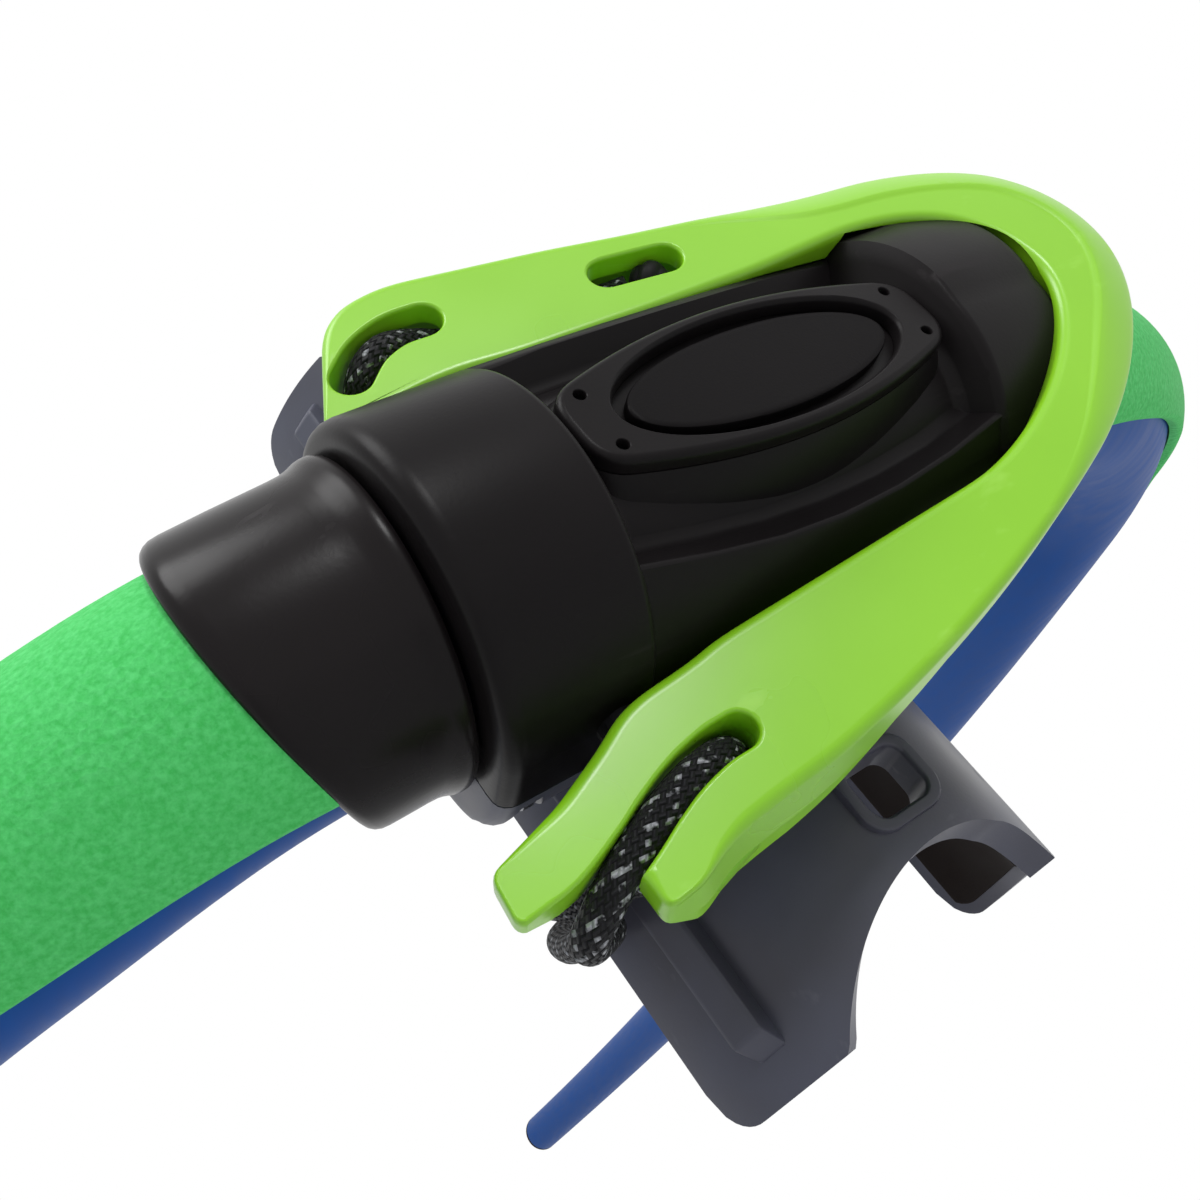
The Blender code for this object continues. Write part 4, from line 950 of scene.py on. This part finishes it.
def makeLever():
    outline = [(u, z, rimShare(u, z)) for u, z in leverOuter] + [(u, z, 0.0) for u, z in leverInner]
    points = softCorners(outline, lever["corner"])
    inward = []
    for i, point in enumerate(points):
        along = (points[(i + 1) % len(points)].xy - points[i - 1].xy).normalized()
        inward.append(Vector((along.y, -along.x)))
    # front edge rolls over; round the nose the roll is wide and starts at a crease
    rows = [(1.0, 0.35, 0.95, 0.0, 0.0), (1.0, 0.25, 0.6, 0.0, 0.45), (1.0, 0.15, 0.2, 0.0, 0.95)]
    rows += [(1 - sin(a), 0, 0, a, cos(a) ** 6) for a in spread(0, pi / 2, 9)]
    rows += [(0, 0, 0, -0.6, 0), (0, 0.5, 0, -0.64, 0), (0, 0.5, 0, -1.0, 0)]
    loops = []
    for share, more, noseMore, turn, rise in rows:
        loop = []
        for point, way in zip(points, inward):
            edge = mix(lever["edge"], lever["crease"], point.z)
            roll = mix(lever["edge"], lever["roll"], point.z)
            depth = leverDepth(point.x) * -turn
            if turn >= 0:
                steep = lever["steep"] * point.z
                depth = roll * (steep * sin(turn) + (1 - steep) * (1 - cos(turn)))
            nose = max(0, point.z)
            depth -= lever["ridge"] * rise * nose
            place = point.xy + way * (edge * share + more + noseMore * nose)
            if turn < 0 and point.y < -33:   # the lower arm's outer wall leans out towards its end
                lean = unit(-point.x / 24) * unit((point.x + 41.8) / 4)
                place -= way * lever["flare"] * lean * -turn
            loop.append(onLever(place.x, place.y, depth))
        loops.append(loop)
    piece = loftObject("clampLever", loops, limeNylon)
    cutters = [slotCutter("upperSlot", smoothPath(slotPaths["upperSlot"]), lever["upperSlot"]),
               slotCutter("lowerSlot", smoothPath(slotPaths["lowerSlot"]), lever["slot"]),
               slotCutter("smallSlot", slotPaths["smallSlot"], lever["smallSlot"])]
    pocket = [(u, armLine(u) - lever["web"]) for u in spread(-25.5, 17.0, 8)]
    pocket += [(17.0, wide + lever["web"]), (-18.0, wide + lever["web"]), (-25.5, wide + 4 * lever["web"])]
    lower = [(u, -z) for u, z in pocket if u > -19]
    for name, outline in (("upperPocket", pocket), ("lowerPocket", lower)):
        soft = softCorners(outline, lever["pocketCorner"])
        cutters.append(loftObject(name, [[onLever(p.x, p.y, d) for p in soft] for d in (lever["skin"], 40)]))
    cutters.append(bodyRoom())
    radius, depth, reach = lever["socket"]
    for sign in (-1, 1):
        cutters.append(rod("pinSocket", radius, depth, 40, Matrix.Translation((*lever["pivot"], sign * reach))))
    carve(piece, cutters)
    return shadeSoft(piece, 30)


setIn(makeLever(), "lever", "clamp_lever")
print("lever made")


# Clamp rope: from the lever's upper arm twice round the mast to the starboard knot, one length of braid
cord = {"radius": 1.95, "sides": 28, "step": 1.1, "lie": 32.7, "back": 28.0, "port": 35.7, "knotReach": 34.4,
        "turnMiddle": 14.0, "turnHalf": 12.4, "anchor": -13.5}


def cordRoute():
    lie, back, port, anchor = cord["lie"], cord["back"], cord["port"], cord["anchor"]
    turnAt = lambda share: cord["turnMiddle"] + cord["turnHalf"] * share
    top, low = turnAt(1), turnAt(-1)
    half = [(80, 1), (71, 0.98), (64.5, 0.87), (59.6, 0.63), (57, 0.32)]
    bend = [(a, lie, turnAt(s)) for a, s in half + [(56.4, 0)] + [(a, -s) for a, s in reversed(half)]]
    route = [onLever(u, z, d) for u, z, d in (
        (2.4, 25.6, 4.4), (-3.0, 27.1, 5.5), (-9.0, 28.5, 5.8), (-16.5, 30.3, 6.0), (-21.0, 31.0, 5.7),
        (-24.8, 31.4, 4.0), (-29.0, 31.2, 2.4), (-32.4, 29.7, 3.0), (-34.5, 27.9, 6.0), (-35.0, 27.5, 10.6),
        (-35.8, 27.2, 15.4), (-37.2, 26.9, 21.5))]
    route += [roundMast(a, r, z) for a, r, z in (
        (-72, port + 4, 26.3), (-90, port, 26), (-112, back + 4, 25.8), (-135, back, 25.7), (-160, back, 25.8),
        (175, back, 26), (150, back, 26.2), (126, back + 2.5, top), (106, lie + 1, top), (90, lie, top), *bend,
        (90, lie, low), (106, lie + 1, low), (126, back + 2.5, 0.4), (150, back, -2), (175, back, -5),
        (-160, back, -9), (-135, back, -13), (-112, back + 1.8, -17.5), (-90, port - 4.4, -22),
        (-74, port - 2, -26.5))]
    route += [onLever(u, z, d) for u, z, d in (
        (-35.6, -31.0, 27.0), (-34.0, -34.0, 19.5), (-30.5, -34.2, 14.6), (-27.4, -32.4, 12.8), (-25.7, -31.0, 10.0),
        (-25.7, -30.8, 6.0), (-27.8, -30.9, 3.2), (-32.0, -31.5, 2.3), (-37.0, -32.9, 2.4), (-41.2, -34.5, 2.9),
        (-45.0, -36.3, 4.6), (-47.0, -37.2, 8.8), (-45.6, -36.6, 14.0), (-42.4, -35.0, 20.5))]
    route += [roundMast(a, r, z) for a, r, z in (
        (-63, port + 2.5, -32.4), (-76, port - 1.6, -31.0), (-92, port - 4.2, -28.8), (-112, back + 2, -25),
        (-135, back, -22), (-160, back, -19), (175, back, -17), (150, back, -15.4), (126, back + 2.5, -14.2),
        (106, lie + 1, anchor), (90, lie, anchor), (78, lie, anchor), (70, (lie + cord["knotReach"]) / 2, anchor),
        (61, cord["knotReach"], anchor))]
    fine = smoothPath(route, 24)
    total = sum((b - a).length for a, b in zip(fine, fine[1:]))
    count = round(total / cord["step"])
    picked, gone = [fine[0]], 0.0
    for a, b in zip(fine, fine[1:]):
        gone += (b - a).length
        if gone >= total * len(picked) / count and len(picked) < count:
            picked.append(b)
    return picked + [fine[-1]], total


def makeRope():
    path, total = cordRoute()
    rows, side = [], None
    for i, place in enumerate(path):
        along = (at(path, i + 1) - at(path, i - 1)).normalized()
        side = along.orthogonal() if side is None else side - along * side.dot(along)
        side.normalize()
        up = along.cross(side)
        rows.append([place + (side * cos(a) + up * sin(a)) * cord["radius"]
                     for a in circle(cord["sides"])])
    bm = bmesh.new()
    loft(bm, rows)
    order, station = bm.verts.layers.int["order"], bm.verts.layers.int["station"]
    layout = bm.loops.layers.uv.new("braidMap")
    for face in bm.faces:
        shares = [loop.vert[order] / cord["sides"] for loop in face.loops]
        wraps = max(shares) - min(shares) > 0.5
        for loop, share in zip(face.loops, shares):
            loop[layout].uv = (share + (1 if wraps and share < 0.5 else 0),
                               loop.vert[station] * total / (len(path) - 1) / 1000)
    rope = softObject("clampRope", bm, braid, 60)
    return rope, [toPart @ p for p in path], total / 1000


# Stopper knots: three turns of rope lie across a ball
knot = {"upper": 2.7, "anchor": 4.0, "round": 0.84, "wrap": 0.17, "wrapPower": 0.6, "turns": 1.5, "twist": 2.6,
        "braidScale": 0.012, "gap": 0.3}


def makeKnot(name, end, inward, radius, body):
    along = (end - inward).normalized()
    bm = bmesh.new()
    bmesh.ops.create_uvsphere(bm, u_segments=48, v_segments=28, radius=1, calc_uvs=True)
    for vert in bm.verts:
        wrap = abs(sin(knot["turns"] * atan2(vert.co.y, vert.co.x) + knot["twist"] * vert.co.z))
        vert.co *= knot["round"] + knot["wrap"] * wrap ** knot["wrapPower"]
    layout = bm.loops.layers.uv.verify()
    for face in bm.faces:
        for loop in face.loops:
            loop[layout].uv.y *= knot["braidScale"]
    bmesh.ops.transform(bm, matrix=Matrix.Translation(end + along * (radius + knot["gap"]))
                        @ along.to_track_quat("Z", "Y").to_matrix().to_4x4() @ Matrix.Scale(radius, 4), verts=bm.verts)
    return setIn(softObject(name, bm, braid, 60), body)


rope, ropePath, ropeLength = makeRope()
ends = [Vector((p.x * 1000, p.y * 1000 + mastBack, p.z * 1000))
        for p in (ropePath[0], ropePath[4], ropePath[-5], ropePath[-1])]
upperKnot = makeKnot("upperKnot", ends[0], ends[1], knot["upper"], "lever")
anchorKnot = makeKnot("anchorKnot", ends[3], ends[2], knot["anchor"], "head")
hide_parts("upper_rope_knot")
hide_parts("anchor_rope_knot")
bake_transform(rope)
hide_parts("clamp_rope")
print("rope made: %.3f m" % ropeLength)

# CAD nodes that stay as they are take their finish here
finishes = {"joiner_sleeve": millAluminium, "upper_pivot_pin": blackOxide, "lower_pivot_pin": blackOxide}
for name in nodes:
    if name.endswith("body_screw"):
        finishes[name] = stainlessSteel
    if name.startswith("plate_screw"):
        finishes[name] = blackOxide
for name, material in finishes.items():
    nodes[name].data.materials.clear()
    nodes[name].data.materials.append(material)

# Floor, soft lamps and a white surround
stage = {"floorDrop": -0.6, "floorBack": 0.4, "floorHalf": 1.2, "aim": (0, -0.04, 0), "skyLow": 0.1, "skyHigh": 0.6,
         "key": ((-0.3, -0.5, 1.0), 0.6, 6.4), "fill": ((0.07, -1.05, 0.45), 0.25, 4.2),
         "side": ((0.8, -0.6, 0.6), 0.5, 0.3)}
bm = bmesh.new()
bmesh.ops.create_grid(bm, x_segments=2, y_segments=2, size=stage["floorHalf"],
                      matrix=Matrix.Translation((0, stage["floorBack"], stage["floorDrop"])))
mesh = bpy.data.meshes.new("studioFloor")
bm.to_mesh(mesh)
bm.free()
floor = addObject("studioFloor", mesh)
paper, tree, shader, place = startMaterial("backdropPaper", {"Roughness": 0.9})
fibre = addNode(tree, "TexNoise", {"Scale": 60, "Detail": 3, "Vector": place["Object"]})
tone = addNode(tree, "Mix", {0: fibre, 6: "#F4F4F4", 7: "#FAFAFA"}, data_type="RGBA")
feed(tree, shader, {"Base Color": tone})
mesh.materials.append(paper)

for name in ("key", "fill", "side"):
    place, size, power = stage[name]
    lampData = bpy.data.lights.new(name + "Lamp", "AREA")
    lampData.shape = "DISK"
    lampData.size = size
    lampData.energy = power
    lamp = addObject(name + "Lamp", lampData)
    lamp.location = place
    lamp.rotation_euler = (Vector(stage["aim"]) - Vector(place)).to_track_quat("-Z", "Y").to_euler()

world = bpy.data.worlds.new("studioWorld")
scene.world = world
world.use_nodes = True
tree = world.node_tree
tree.nodes.clear()
rays = addNode(tree, "LightPath", {}).outputs
seen = addNode(tree, "Math", {0: rays["Is Camera Ray"], 1: rays["Is Glossy Ray"]}, operation="MAXIMUM")
seenThrough = addNode(tree, "Math", {0: seen, 1: rays["Is Transmission Ray"]}, operation="MAXIMUM")
sky = addNode(tree, "SeparateXYZ", {0: addNode(tree, "TexCoord", {}).outputs["Generated"]})
level = addNode(tree, "MapRange", {
    "From Min": -1, "From Max": 1, "To Min": stage["skyLow"], "To Max": stage["skyHigh"], "Value": sky.outputs[2]})
soft = addNode(tree, "Background", {"Color": "#F4F6F8", "Strength": level})
white = addNode(tree, "Background", {"Color": "#FFFFFF", "Strength": 1.0})
either = addNode(tree, "MixShader", {0: seenThrough, 1: soft, 2: white})
addNode(tree, "OutputWorld", {"Surface": either})
scene.view_settings.view_transform = "Standard"

print("scene ready")
